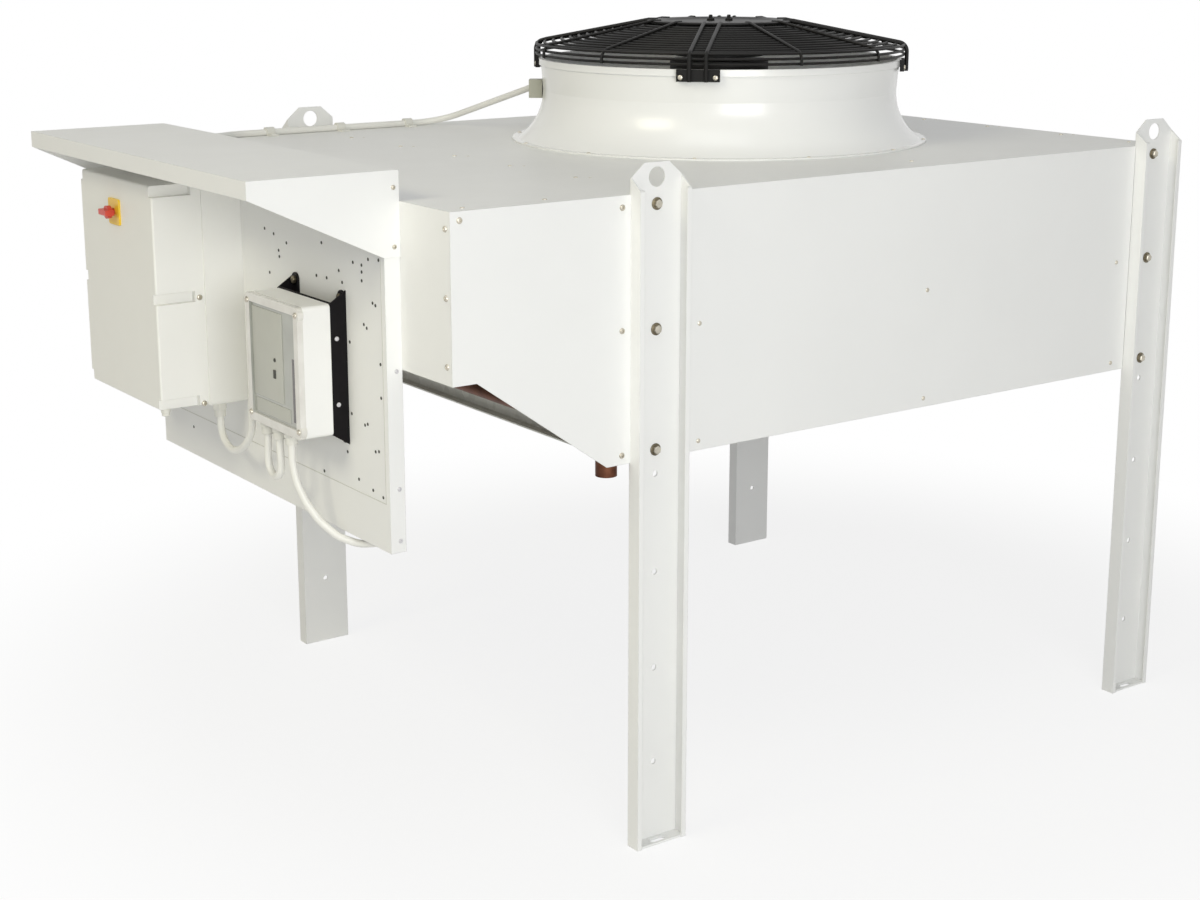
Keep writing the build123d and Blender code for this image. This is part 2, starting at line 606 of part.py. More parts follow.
# Canopy over the panel: top, fascia and two slanted side plates
FASCIA_X = PANEL_X - CANOPY_REACH
with BuildPart() as canopy:
    with BuildSketch(Plane.XZ.offset(-PANEL_HALF_WIDTH - SHEET)):
        with BuildLine():
            Polyline(
                (FASCIA_X, CANOPY_TOP),
                (FASCIA_X, CANOPY_TOP - FASCIA),
                (PANEL_X, CANOPY_TOP - CANOPY_HEEL),
                (HEADER_END_X, CANOPY_TOP - CANOPY_HEEL),
                (HEADER_END_X, CANOPY_TOP),
                close=True,
            )
        make_face()
    extrude(amount=2 * (PANEL_HALF_WIDTH + SHEET))
    inside_size, inside_centre = corner_box(
        (FASCIA_X + SHEET, -PANEL_HALF_WIDTH, CANOPY_TOP - SHEET - CANOPY_HEEL),
        (HEADER_END_X + SHEET, PANEL_HALF_WIDTH, CANOPY_TOP - SHEET),
    )
    with Locations(inside_centre):
        Box(*inside_size, mode=Mode.SUBTRACT)
save(canopy.part, "panel_canopy")

# Switch enclosure: base against the panel, lid in front with pockets for its screws
box_top = CANOPY_TOP - BOX_DROP
box_low = (PANEL_X - BOX_BASE, BOX_SIDE, box_top - BOX_HEIGHT)
box_high = (PANEL_X, BOX_SIDE + BOX_WIDTH, box_top)
box_size, box_centre = corner_box(box_low, box_high)
with BuildPart() as box_base:
    with Locations(box_centre):
        Box(*box_size)
    fillet(box_base.edges().filter_by(Axis.X), BOX_ROUND)
save(box_base.part, "enclosure_base")

lid_x = box_low[0] - BOX_LID
lid_size = (BOX_LID, BOX_WIDTH - 2 * LID_INSET, BOX_HEIGHT - 2 * LID_INSET)
switch_y = box_centre[1]
switch_z = box_top - SWITCH_DROP
with BuildPart() as box_lid:
    with Locations((lid_x + BOX_LID / 2, box_centre[1], box_centre[2])):
        Box(*lid_size)
    fillet(box_lid.edges().filter_by(Axis.X), BOX_ROUND)
    fillet(box_lid.faces().sort_by(Axis.X)[0].edges(), BOX_ROUND / 2)
    for side in (-1, 1):
        for level in (-1, 0, 1):
            pocket_y = box_centre[1] + side * (lid_size[1] - POCKET_DEPTH) / 2
            pocket_z = box_centre[2] + level * (lid_size[2] - POCKET_HEIGHT) / 2
            with Locations((lid_x + POCKET_LENGTH / 2, pocket_y, pocket_z)):
                Box(POCKET_LENGTH, POCKET_DEPTH, POCKET_HEIGHT, mode=Mode.SUBTRACT)
    with Locations(Plane((lid_x, switch_y, switch_z), x_dir=(0, 1, 0), z_dir=(-1, 0, 0))):
        Hole(SWITCH_SHAFT + SHAFT_GAP, depth=SWITCH_SHAFT_DEPTH + SHAFT_GAP)
save(box_lid.part, "enclosure_lid")

# Main switch: a plate on the lid and a turning grip on a shaft
plate_x = lid_x - SWITCH_PLATE_THICKNESS
with BuildPart() as switch_plate:
    with Locations((plate_x + SWITCH_PLATE_THICKNESS / 2, switch_y, switch_z)):
        Box(SWITCH_PLATE_THICKNESS, SWITCH_PLATE, SWITCH_PLATE)
    fillet(switch_plate.edges().filter_by(Axis.X), SWITCH_PLATE_ROUND)
    with Locations(Plane((plate_x, switch_y, switch_z), x_dir=(0, 1, 0), z_dir=(-1, 0, 0))):
        Hole(SWITCH_SHAFT + SHAFT_GAP)
save(switch_plate.part, "switch_plate")

grip_x = plate_x - SWITCH_STANDOFF
with BuildPart() as switch_handle:
    with BuildSketch(Plane((grip_x, switch_y, switch_z), x_dir=(0, 1, 0), z_dir=(-1, 0, 0))):
        Circle(SWITCH_KNOB)
    extrude(amount=GRIP_DEPTH / 2)
    with Locations((grip_x - GRIP_DEPTH / 2, switch_y, switch_z)):
        Box(GRIP_DEPTH, GRIP_LENGTH, GRIP_WIDTH)
    fillet(switch_handle.faces().sort_by(Axis.X)[0].edges(), GRIP_ROUND)
    with BuildSketch(Plane((grip_x, switch_y, switch_z), x_dir=(0, 1, 0), z_dir=(1, 0, 0))):
        Circle(SWITCH_SHAFT)
    extrude(amount=SWITCH_STANDOFF + SWITCH_PLATE_THICKNESS + SWITCH_SHAFT_DEPTH)
save(switch_handle.part, "switch_handle")

# Fan speed controller: flared bracket on the panel, housing, and a cover with a sunk window
unit_x = PANEL_X - BRACKET_DEPTH
unit_top = CANOPY_TOP - UNIT_DROP
unit_bottom = unit_top - UNIT_HEIGHT
unit_mid_y = -UNIT_SIDE - UNIT_WIDTH / 2
unit_mid_z = (unit_top + unit_bottom) / 2
with BuildPart() as bracket:
    with BuildSketch(Plane.XZ.offset(UNIT_SIDE)):
        with BuildLine():
            Polyline(
                (PANEL_X, unit_bottom - BRACKET_FLARE),
                (PANEL_X, unit_top + BRACKET_FLARE),
                (unit_x, unit_top),
                (unit_x, unit_bottom),
                close=True,
            )
        make_face()
    extrude(amount=UNIT_WIDTH)
    with Locations((unit_x + BRACKET_WALL + BRACKET_DEPTH, unit_mid_y, unit_mid_z)):
        Box(2 * BRACKET_DEPTH, UNIT_WIDTH - 2 * BRACKET_WALL, 2 * UNIT_HEIGHT, mode=Mode.SUBTRACT)
save(bracket.part, "controller_bracket")

with BuildPart() as unit_base:
    with Locations((unit_x - UNIT_BASE / 2, unit_mid_y, unit_mid_z)):
        Box(UNIT_BASE, UNIT_WIDTH, UNIT_HEIGHT)
    fillet(unit_base.edges().filter_by(Axis.X), UNIT_ROUND)
save(unit_base.part, "controller_housing")

cover_x = unit_x - UNIT_BASE
with BuildPart() as unit_cover:
    with BuildSketch(Plane((cover_x, unit_mid_y, unit_mid_z), x_dir=(0, 1, 0), z_dir=(-1, 0, 0))):
        RectangleRounded(UNIT_WIDTH, UNIT_HEIGHT, UNIT_ROUND)
        with GridLocations(UNIT_WIDTH - 2 * LOBE_INSET, UNIT_HEIGHT - 4 * LOBE_INSET, 2, 2):
            Circle(LOBE_RADIUS)
    extrude(amount=UNIT_COVER)
    with Locations((cover_x - UNIT_COVER, unit_mid_y, unit_mid_z)):
        Box(2 * WINDOW_DEPTH, UNIT_WIDTH - 2 * WINDOW_MARGIN, UNIT_HEIGHT - 2 * WINDOW_MARGIN, mode=Mode.SUBTRACT)
save(unit_cover.part, "controller_cover")

# Cable glands: a hexagon nut with a round neck, seated on the enclosure and the controller
box_gland = (PANEL_X - BOX_GLAND_BACK, BOX_SIDE + BOX_GLAND_SIDE, box_low[2])
side_gland = (unit_x - UNIT_BASE / 2, -UNIT_SIDE, unit_bottom + SIDE_GLAND_LIFT)
unit_glands = [
    (unit_x - UNIT_GLAND_BACK, -UNIT_SIDE - UNIT_GLAND_SIDE - k * UNIT_GLAND_SPACING, unit_bottom)
    for k in range(UNIT_GLAND_COUNT)
]
gland_seats = [("gland_enclosure", box_gland, (0, 0, -1)), ("gland_controller_1", side_gland, (0, 1, 0))]
gland_seats += [(f"gland_controller_{k + 2}", seat, (0, 0, -1)) for k, seat in enumerate(unit_glands)]
for name, seat, direction in gland_seats:
    with BuildPart() as gland:
        with BuildSketch(Plane(origin=seat, z_dir=direction)):
            RegularPolygon(GLAND_RADIUS, 6)
        extrude(amount=GLAND_LENGTH / 2)
        with BuildSketch(Plane(origin=seat, z_dir=direction)):
            Circle(GLAND_NECK)
        extrude(amount=GLAND_LENGTH)
    save(gland.part, name)
gland_ends = [Vector(*seat) + Vector(*direction) * GLAND_LENGTH for name, seat, direction in gland_seats]

# Fan terminal: a small box seated on the nozzle's wall, where the fan's cable ends
terminal_bottom = NOZZLE_TOP - TERMINAL_DROP - TERMINAL_HEIGHT
with BuildPart() as terminal:
    with BuildSketch(Plane.XY.offset(terminal_bottom)):
        with Locations(Location((0, 0), TERMINAL_ANGLE)):
            with Locations((THROAT_RADIUS + TERMINAL_DEPTH / 2, 0)):
                Rectangle(TERMINAL_DEPTH, TERMINAL_WIDTH)
        Circle(flare_reach(terminal_bottom) + RIM_SEAT, mode=Mode.SUBTRACT)
    extrude(amount=TERMINAL_HEIGHT)
save(terminal.part, "fan_terminal")


def free_bends(points):
    """Bend radii of a hanging cable: each arc is as large as its two runs allow."""
    radii = []
    for before, here, after in zip(points, points[1:], points[2:]):
        turn = (here - before).get_angle(after - here)
        run = min((here - before).length, (after - here).length)
        radii.append(0.45 * run / tan(radians(turn / 2)))
    return radii


# Cable from the enclosure to the controller's side: it hangs in a bow and climbs to the side gland
box_end, side_end, loop_start, loop_end, fan_start = gland_ends
link_route = [
    box_end,
    box_end + Vector(0, 0, -16),
    box_end + Vector(-2, -14, -31),
    box_end + Vector(-3, -38, -40),
    box_end + Vector(-4, -66, -35),
    box_end + Vector(-5, -91, -21),
    side_end + Vector(1, 36, -74),
    side_end + Vector(0, 30, -52),
    side_end + Vector(0, 31, -28),
    side_end + Vector(0, 26, -10),
    side_end + Vector(0, 14, 0),
    side_end,
]

# Short loop between two glands of the controller
loop_middle = (loop_start + loop_end) / 2 - Vector(0, 0, LOOP_DROP)
lead_down = Vector(0, 0, -LOOP_LEAD)
loop_route = [loop_start, loop_start + lead_down]
for angle in (10, -40, -90, -140, -190):
    loop_route.append(loop_middle + Vector(0, cos(radians(angle)), sin(radians(angle))) * LOOP_RADIUS)
loop_route += [loop_end + lead_down, loop_end]

# Cable to the fan: under the panel's lower edge, up behind it, along the casing's back edge to the nozzle
under = Vector(PANEL_X, fan_start.Y, PANEL_BOTTOM)
behind_x = PANEL_X + SHEET + CABLE_RADIUS
riser_x = (PANEL_X + SHEET + HEADER_END_X) / 2
lane_y = FACE_Y - LANE_INSET
lane_z = CASE_TOP + CABLE_RADIUS
lane_x = HEADER_END_X + LANE_START
radial = Vector(cos(radians(TERMINAL_ANGLE)), sin(radians(TERMINAL_ANGLE)), 0)
entry = Vector(-radial.Y, radial.X, 0)
fan_end = radial * (THROAT_RADIUS + TERMINAL_DEPTH * 0.6) - entry * (TERMINAL_WIDTH / 2)
fan_end += Vector(0, 0, terminal_bottom + TERMINAL_HEIGHT / 2)
drop = fan_start.Z - PANEL_BOTTOM
fan_route = [
    fan_start,
    fan_start + Vector(0, 0, -0.21 * drop),
    fan_start + Vector(2, -6, -0.43 * drop),
    under + Vector(-42, -16, 0.35 * drop),
    under + Vector(-30, -28, 0.14 * drop),
    under + Vector(-12, -44, -5),
    under + Vector(10, -61, -15),
    under + Vector(36, -80, -13),
    under + Vector(55, -93, 12),
    under + Vector(52, -100, 50),
    Vector(behind_x, -RISER_SIDE, PANEL_BOTTOM + 118),
    Vector(behind_x, RISER_SIDE - 40, HEADER_BOTTOM - 70),
    Vector(riser_x, RISER_SIDE, HEADER_BOTTOM - 20),
    Vector(riser_x, RISER_SIDE, CASE_TOP + LANE_LIFT),
    Vector(lane_x, lane_y, lane_z),
    Vector(lane_x + LANE_LENGTH, lane_y, lane_z),
    fan_end - entry * TERMINAL_LEAD,
    fan_end,
]
widest_bends = [60, 60, 60, 60, 50, 40, 34, 34, 50, 50, 50, 50, 30, 60, 60, 50]
fan_bends = [min(pair) for pair in zip(widest_bends, free_bends(fan_route))]
for name, route, bends in (
    ("link_cable", link_route, free_bends(link_route)),
    ("loop_cable", loop_route, free_bends(loop_route)),
    ("fan_cable", fan_route, fan_bends),
):
    with BuildPart() as cable:
        with BuildLine():
            path = FilletPolyline(*route, radius=bends)
        with BuildSketch(Plane(origin=path @ 0, z_dir=path % 0)):
            Circle(CABLE_RADIUS)
        sweep()
    print(name, "length", round(path.length))
    save(cable.part, name)

# Clips that hold the fan's cable down on the top plate, each a saddle with a screw foot
for k in range(CLIP_COUNT):
    clip_x = lane_x + LANE_LENGTH * (k + 0.5) / CLIP_COUNT
    with BuildPart() as clip:
        with BuildSketch(Plane.YZ.offset(clip_x - CLIP_LENGTH / 2)):
            with Locations((lane_y, lane_z)):
                Circle(CABLE_RADIUS + CLIP_WALL)
            with Locations((lane_y, CASE_TOP)):
                Rectangle(
                    2 * (CABLE_RADIUS + CLIP_WALL),
                    CABLE_RADIUS,
                    align=(Align.CENTER, Align.MIN),
                )
            with Locations((lane_y - CABLE_RADIUS, CASE_TOP)):
                Rectangle(CLIP_WALL + CLIP_FOOT, CLIP_WALL, align=(Align.MAX, Align.MIN))
            with Locations((lane_y, CASE_TOP)):
                Rectangle(4 * CLIP_FOOT, CLIP_FOOT, align=(Align.CENTER, Align.MAX), mode=Mode.SUBTRACT)
                Rectangle(2 * CABLE_RADIUS, CABLE_RADIUS, align=(Align.CENTER, Align.MIN), mode=Mode.SUBTRACT)
            with Locations((lane_y, lane_z)):
                Circle(CABLE_RADIUS, mode=Mode.SUBTRACT)
        extrude(amount=CLIP_LENGTH)
    save(clip.part, f"cable_clip_{k + 1}")
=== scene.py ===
"""Air-cooled condenser: camera, cables, studio, materials and the small parts that dress the solids."""

import json
import math

import bmesh
import bpy
from mathutils import Matrix, Vector


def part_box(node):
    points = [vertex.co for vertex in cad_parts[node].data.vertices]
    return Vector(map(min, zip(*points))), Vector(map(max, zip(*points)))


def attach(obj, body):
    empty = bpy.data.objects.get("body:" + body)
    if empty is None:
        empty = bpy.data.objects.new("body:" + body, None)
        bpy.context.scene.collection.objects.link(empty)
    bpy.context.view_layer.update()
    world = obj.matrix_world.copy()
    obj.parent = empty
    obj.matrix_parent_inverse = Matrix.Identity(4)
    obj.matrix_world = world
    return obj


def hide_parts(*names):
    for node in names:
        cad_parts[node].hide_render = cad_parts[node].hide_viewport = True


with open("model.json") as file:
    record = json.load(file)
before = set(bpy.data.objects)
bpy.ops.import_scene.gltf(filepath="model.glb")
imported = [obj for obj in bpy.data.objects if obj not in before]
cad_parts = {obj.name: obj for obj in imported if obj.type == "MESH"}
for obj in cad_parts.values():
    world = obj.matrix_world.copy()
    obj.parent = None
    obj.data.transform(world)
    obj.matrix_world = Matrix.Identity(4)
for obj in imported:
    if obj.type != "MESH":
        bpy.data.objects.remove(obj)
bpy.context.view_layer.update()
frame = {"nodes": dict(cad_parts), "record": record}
nodes = frame["nodes"]
scene = bpy.context.scene
scene.view_settings.view_transform = "Standard"
MM = 0.001


def link(name, data):
    """Put a new object into the scene."""
    made = bpy.data.objects.new(name, data)
    scene.collection.objects.link(made)
    return made


# Camera at the photograph's view: place in metres, tilt and heading in degrees
CAMERA_PLACE = (-1.937, -2.3931, 1.1906)
CAMERA_TILT, CAMERA_HEADING = 76.97, -35.55
camera_data = bpy.data.cameras.new("camera")
camera_data.sensor_width = 36.0
camera_data.lens = 58.86
camera_data.shift_y = -0.0583
camera = link("camera", camera_data)
camera.location = CAMERA_PLACE
camera.rotation_euler = (math.radians(CAMERA_TILT), 0, math.radians(CAMERA_HEADING))
scene.camera = camera

# Material helpers


def add(tree, kind, inputs=None, **settings):
    """Add a shader node; an input is a plain value or another node's output."""
    made = tree.nodes.new(kind)
    for key, value in settings.items():
        setattr(made, key, value)
    for key, value in (inputs or {}).items():
        if isinstance(value, bpy.types.NodeSocket):
            tree.links.new(value, made.inputs[key])
        else:
            made.inputs[key].default_value = value
    return made


def ramp(tree, factor, stops):
    """Colours blended along a factor: stops are (place, colour) pairs."""
    made = add(tree, "ShaderNodeValToRGB", {"Fac": factor})
    elements = made.color_ramp.elements
    while len(elements) < len(stops):
        elements.new(0.5)
    for element, (place, colour) in zip(elements, stops):
        element.position = place
        element.color = (*colour, 1.0)
    return made.outputs["Color"]


def blend(tree, factor, first, second):
    """Mix two colours or colour outputs by a factor."""
    made = add(tree, "ShaderNodeMix", data_type="RGBA")
    tree.links.new(factor, made.inputs[0])
    for socket, value in ((made.inputs[6], first), (made.inputs[7], second)):
        if isinstance(value, bpy.types.NodeSocket):
            tree.links.new(value, socket)
        else:
            socket.default_value = (*value, 1.0)
    return made.outputs[2]


def math_node(tree, operation, first, second=0.5, third=0.5):
    """The result of a math operation on values or outputs."""
    return add(tree, "ShaderNodeMath", {0: first, 1: second, 2: third}, operation=operation).outputs[0]


def remap(tree, value, low, high, start=0.0, end=1.0, **settings):
    """Spread a value that runs from start to end over the range from low to high."""
    inputs = {"Value": value, "From Min": start, "From Max": end, "To Min": low, "To Max": high}
    return add(tree, "ShaderNodeMapRange", inputs, **settings).outputs["Result"]


def seen_rays(tree):
    """1 for rays that show the surroundings, straight, through glass or in gloss, and 0 for the rest."""
    path = add(tree, "ShaderNodeLightPath")
    seen = math_node(tree, "MAXIMUM", path.outputs["Is Camera Ray"], path.outputs["Is Transmission Ray"])
    return math_node(tree, "MAXIMUM", seen, path.outputs["Is Glossy Ray"])


def shade(colour, factor):
    """A colour made darker or lighter."""
    return tuple(min(1.0, channel * factor) for channel in colour)


def new_material(name):
    """A material with its node tree, its shader and the object's own coordinates."""
    made = bpy.data.materials.new(name)
    made.use_nodes = True
    tree = made.node_tree
    place = add(tree, "ShaderNodeTexCoord").outputs["Object"]
    return made, tree, tree.nodes["Principled BSDF"], place


def noise(tree, place, scale, detail=3.0, roughness=0.5):
    """Cloudy noise between 0 and 1."""
    inputs = {"Vector": place, "Scale": scale, "Detail": detail, "Roughness": roughness}
    return add(tree, "ShaderNodeTexNoise", inputs).outputs["Fac"]


DUST = (0.55, 0.53, 0.48)


def coating(name, colour, rough, grain, bump, mottle, edge, edge_tint, dust=0.0, coat=0.0, gloss=0.5):
    """A painted or moulded surface: soft mottling, fine grain, worn edges and a film of dust on top."""
    made, tree, shader, place = new_material(name)
    clouds = noise(tree, place, 5.0, 6.0, 0.6)
    fine = noise(tree, place, grain, 2.0)
    tint = ramp(tree, clouds, [(0.3, shade(colour, 1 - mottle)), (0.7, shade(colour, 1 + mottle))])
    soft = add(tree, "ShaderNodeBevel", {"Radius": edge * MM}, samples=4).outputs["Normal"]
    geometry = add(tree, "ShaderNodeNewGeometry")
    inputs = {0: soft, 1: geometry.outputs["Normal"]}
    along = add(tree, "ShaderNodeVectorMath", inputs, operation="DOT_PRODUCT")
    worn = remap(tree, along.outputs["Value"], 0.0, 1.0, start=0.99, end=0.9)
    patchy = math_node(tree, "MULTIPLY", worn, noise(tree, place, 60.0, 4.0))
    tint = blend(tree, patchy, tint, shade(colour, edge_tint))
    if dust:
        upward = add(tree, "ShaderNodeSeparateXYZ", {0: geometry.outputs["Normal"]}).outputs["Z"]
        lying = remap(tree, upward, 0.0, dust, start=0.6, end=1.0)
        film = math_node(tree, "MULTIPLY", lying, noise(tree, place, 14.0, 6.0, 0.65))
        tint = blend(tree, film, tint, DUST)
    tree.links.new(tint, shader.inputs["Base Color"])
    tree.links.new(remap(tree, noise(tree, place, 25.0, 4.0), *rough), shader.inputs["Roughness"])
    inputs = {"Height": fine, "Strength": bump, "Distance": 0.4 * MM, "Normal": soft}
    tree.links.new(add(tree, "ShaderNodeBump", inputs).outputs["Normal"], shader.inputs["Normal"])
    shader.inputs["Specular IOR Level"].default_value = gloss
    shader.inputs["Coat Weight"].default_value = coat
    shader.inputs["Coat Roughness"].default_value = 0.12
    return made


def metal(name, dark, light, rough, spangle=0.0, scale=90.0):
    """Bare metal: blotches, or crystals where spangle is set, with uneven polish."""
    made, tree, shader, place = new_material(name)
    blotch = noise(tree, place, scale, 5.0, 0.6)
    tint = ramp(tree, blotch, [(0.3, dark), (0.7, light)])
    if spangle:
        cells = add(tree, "ShaderNodeTexVoronoi", {"Vector": place, "Scale": spangle})
        grey = add(tree, "ShaderNodeSeparateColor", {0: cells.outputs["Color"]}).outputs[0]
        tint = blend(tree, math_node(tree, "MULTIPLY", grey, 0.6), tint, light)
    tree.links.new(tint, shader.inputs["Base Color"])
    tree.links.new(remap(tree, blotch, *rough), shader.inputs["Roughness"])
    inputs = {"Height": noise(tree, place, 900.0), "Strength": 0.1, "Distance": 0.2 * MM}
    tree.links.new(add(tree, "ShaderNodeBump", inputs).outputs["Normal"], shader.inputs["Normal"])
    shader.inputs["Metallic"].default_value = 1.0
    return made


def fins(name):
    """The edge of a stack of thin fins across the tubes: light fin edges, with painted shade in the gaps
    between them.
    """
    made, tree, shader, place = new_material(name)
    inputs = {"Vector": place, "Scale": 105.0, "Distortion": 0.3, "Detail": 1.0, "Detail Scale": 0.4}
    wave = add(tree, "ShaderNodeTexWave", inputs, bands_direction="X").outputs["Fac"]
    # The dark bands are painted shade in the gaps between the fins.
    tint = ramp(tree, wave, [(0.2, (0.1, 0.1, 0.1)), (0.75, (0.66, 0.67, 0.68))])
    tree.links.new(tint, shader.inputs["Base Color"])
    inputs = {"Height": wave, "Strength": 0.8, "Distance": 1.0 * MM}
    tree.links.new(add(tree, "ShaderNodeBump", inputs).outputs["Normal"], shader.inputs["Normal"])
    shader.inputs["Metallic"].default_value = 0.8
    shader.inputs["Roughness"].default_value = 0.42
    return made


# Materials of the slots and of the small parts
paint = coating(
    "casing_paint", (0.86, 0.862, 0.842), rough=(0.4, 0.52), grain=650.0, bump=0.10,
    mottle=0.012, edge=0.9, edge_tint=0.86, dust=0.10, gloss=0.3,
)
nozzle_paint = coating(
    "nozzle_paint", (0.87, 0.872, 0.85), rough=(0.25, 0.28), grain=300.0, bump=0.04,
    mottle=0.008, edge=0.8, edge_tint=0.9, dust=0.03, coat=0.25, gloss=0.45,
)
guard_black = coating(
    "guard_black", (0.006, 0.0055, 0.005), rough=(0.42, 0.55), grain=800.0, bump=0.10,
    mottle=0.2, edge=0.4, edge_tint=2.0, gloss=0.22,
)
fan_black = coating(
    "fan_black", (0.008, 0.0075, 0.007), rough=(0.42, 0.56), grain=500.0, bump=0.12,
    mottle=0.2, edge=0.6, edge_tint=2.0, gloss=0.35,
)
box_plastic = coating(
    "box_plastic", (0.86, 0.858, 0.82), rough=(0.42, 0.55), grain=1400.0, bump=0.14,
    mottle=0.015, edge=1.0, edge_tint=0.9, dust=0.06,
)
bracket_black = coating(
    "bracket_black", (0.006, 0.005, 0.006), rough=(0.42, 0.55), grain=900.0, bump=0.12,
    mottle=0.2, edge=0.6, edge_tint=2.5, gloss=0.12,
)
switch_yellow = coating(
    "switch_yellow", (0.86, 0.57, 0.03), rough=(0.25, 0.36), grain=1200.0, bump=0.06,
    mottle=0.03, edge=0.5, edge_tint=0.85,
)
switch_red = coating(
    "switch_red", (0.62, 0.055, 0.025), rough=(0.25, 0.36), grain=1200.0, bump=0.06,
    mottle=0.04, edge=0.5, edge_tint=0.85,
)
gland_plastic = coating(
    "gland_plastic", (0.72, 0.715, 0.66), rough=(0.38, 0.5), grain=1200.0, bump=0.12,
    mottle=0.02, edge=0.5, edge_tint=0.9,
)
cable_white = coating(
    "cable_white", (0.8, 0.795, 0.75), rough=(0.35, 0.48), grain=900.0, bump=0.10,
    mottle=0.025, edge=0.5, edge_tint=0.95,
)
# Black for the controller's adjusters, and painted shade for the panel's holes.
black_and_hole_shade = coating(
    "black_and_hole_shade", (0.06, 0.06, 0.052), rough=(0.7, 0.85), grain=900.0, bump=0.1,
    mottle=0.2, edge=0.3, edge_tint=1.2,
)
housing_white = coating(
    "housing_white", (0.86, 0.86, 0.835), rough=(0.34, 0.46), grain=1300.0, bump=0.10,
    mottle=0.012, edge=0.8, edge_tint=0.92, dust=0.05,
)
terminal_grey = coating(
    "terminal_grey", (0.4, 0.4, 0.33), rough=(0.4, 0.55), grain=1200.0, bump=0.12,
    mottle=0.05, edge=0.6, edge_tint=0.85,
)
# Painted shade of the panel's fine groove, drawn as a grey strip.
groove_shade_grey = coating(
    "groove_shade_grey", (0.62, 0.62, 0.57), rough=(0.45, 0.6), grain=900.0, bump=0.08,
    mottle=0.03, edge=0.3, edge_tint=0.95,
)
plate_grey = coating(
    "plate_grey", (0.49, 0.495, 0.445), rough=(0.3, 0.45), grain=700.0, bump=0.08,
    mottle=0.06, edge=0.4, edge_tint=1.15,
)
# Pale screws: on the controller's bracket the pale tone is a painted highlight.
pale_screw = coating(
    "pale_screw", (0.62, 0.61, 0.63), rough=(0.3, 0.42), grain=700.0, bump=0.08,
    mottle=0.04, edge=0.4, edge_tint=0.9,
)
COPPER_DARK, COPPER_LIGHT = (0.07, 0.028, 0.017), (0.2, 0.085, 0.05)
zinc = metal("zinc", (0.42, 0.39, 0.32), (0.66, 0.62, 0.53), rough=(0.3, 0.45))
# Dark zinc: yellow-passivated zinc, darkened further as painted shade round the leg bolts' heads.
dark_zinc = metal("dark_zinc", (0.1, 0.085, 0.06), (0.22, 0.19, 0.13), rough=(0.35, 0.5))
galvanised = metal(
    "galvanised_sheet", (0.5, 0.51, 0.52), (0.68, 0.69, 0.7), rough=(0.35, 0.5), spangle=75.0,
)
copper = metal("copper", COPPER_DARK, COPPER_LIGHT, rough=(0.42, 0.6), scale=45.0)
fin_aluminium = fins("fin_aluminium")


def tube_sheet_metal():
    """Zinc-coated sheet, with the return bends, outside the leg and above the lip, in dark copper."""
    made, tree, shader, place = new_material("tube_sheet")
    blotch = noise(tree, place, 45.0, 5.0, 0.6)
    cells = add(tree, "ShaderNodeTexVoronoi", {"Vector": place, "Scale": 75.0})
    grey = add(tree, "ShaderNodeSeparateColor", {0: cells.outputs["Color"]}).outputs[0]
    sheet = ramp(tree, grey, [(0.0, (0.68, 0.69, 0.63)), (1.0, (0.8, 0.81, 0.75))])
    bend = ramp(tree, blotch, [(0.3, COPPER_DARK), (0.7, COPPER_LIGHT)])
    parts = add(tree, "ShaderNodeSeparateXYZ", {0: place})
    leg_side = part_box("leg_front_left")[0].x - 0.5 * MM
    lip_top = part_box("tube_sheet_left")[0].z + 4 * MM
    outside = math_node(tree, "LESS_THAN", parts.outputs["X"], leg_side)
    above_lip = math_node(tree, "GREATER_THAN", parts.outputs["Z"], lip_top)
    pipe = math_node(tree, "MULTIPLY", outside, above_lip)
    tree.links.new(blend(tree, pipe, sheet, bend), shader.inputs["Base Color"])
    tree.links.new(remap(tree, pipe, 0.05, 1.0), shader.inputs["Metallic"])
    tree.links.new(remap(tree, blotch, 0.35, 0.55), shader.inputs["Roughness"])
    return made


def clear_plastic():
    """The controller's clear cover: a pale rim, a window painted with the shaded inside, and a painted shadow
    in the gap behind it.
    """
    made, tree, shader, place = new_material("clear_cover")
    low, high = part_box("controller_housing")
    middle = (low + high) / 2
    parts = add(tree, "ShaderNodeSeparateXYZ", {0: place})
    margin = 11 * MM
    gap_middle_y, gap_half_width = low.y + margin + 9 * MM, 3.5 * MM
    gap_middle_z, gap_half_height = middle.z - 25 * MM, 41 * MM
    inside_y = math_node(tree, "COMPARE", parts.outputs["Y"], middle.y, (high.y - low.y) / 2 - margin)
    inside_z = math_node(tree, "COMPARE", parts.outputs["Z"], middle.z, (high.z - low.z) / 2 - margin)
    window = math_node(tree, "MULTIPLY", inside_y, inside_z)
    gap_y = math_node(tree, "COMPARE", parts.outputs["Y"], gap_middle_y, gap_half_width)
    gap_z = math_node(tree, "COMPARE", parts.outputs["Z"], gap_middle_z, gap_half_height)
    gap = math_node(tree, "MULTIPLY", gap_y, gap_z)
    # The window's grey is painted shade of the dim inside, and the gap's dark strip is a painted shadow.
    inside_shade_stops = [(0.3, (0.37, 0.38, 0.34)), (0.7, (0.43, 0.44, 0.4))]
    rim_stops = [(0.3, (0.64, 0.62, 0.57)), (0.7, (0.76, 0.745, 0.7))]
    inside_shade = ramp(tree, noise(tree, place, 22.0, 3.0), inside_shade_stops)
    rim = ramp(tree, noise(tree, place, 30.0, 3.0), rim_stops)
    tint = blend(tree, window, rim, inside_shade)
    tint = blend(tree, gap, tint, (0.07, 0.055, 0.045))
    tree.links.new(tint, shader.inputs["Base Color"])
    tree.links.new(remap(tree, noise(tree, place, 40.0), 0.08, 0.18), shader.inputs["Roughness"])
    shader.inputs["Coat Weight"].default_value = 0.6
    shader.inputs["Coat Roughness"].default_value = 0.05
    return made


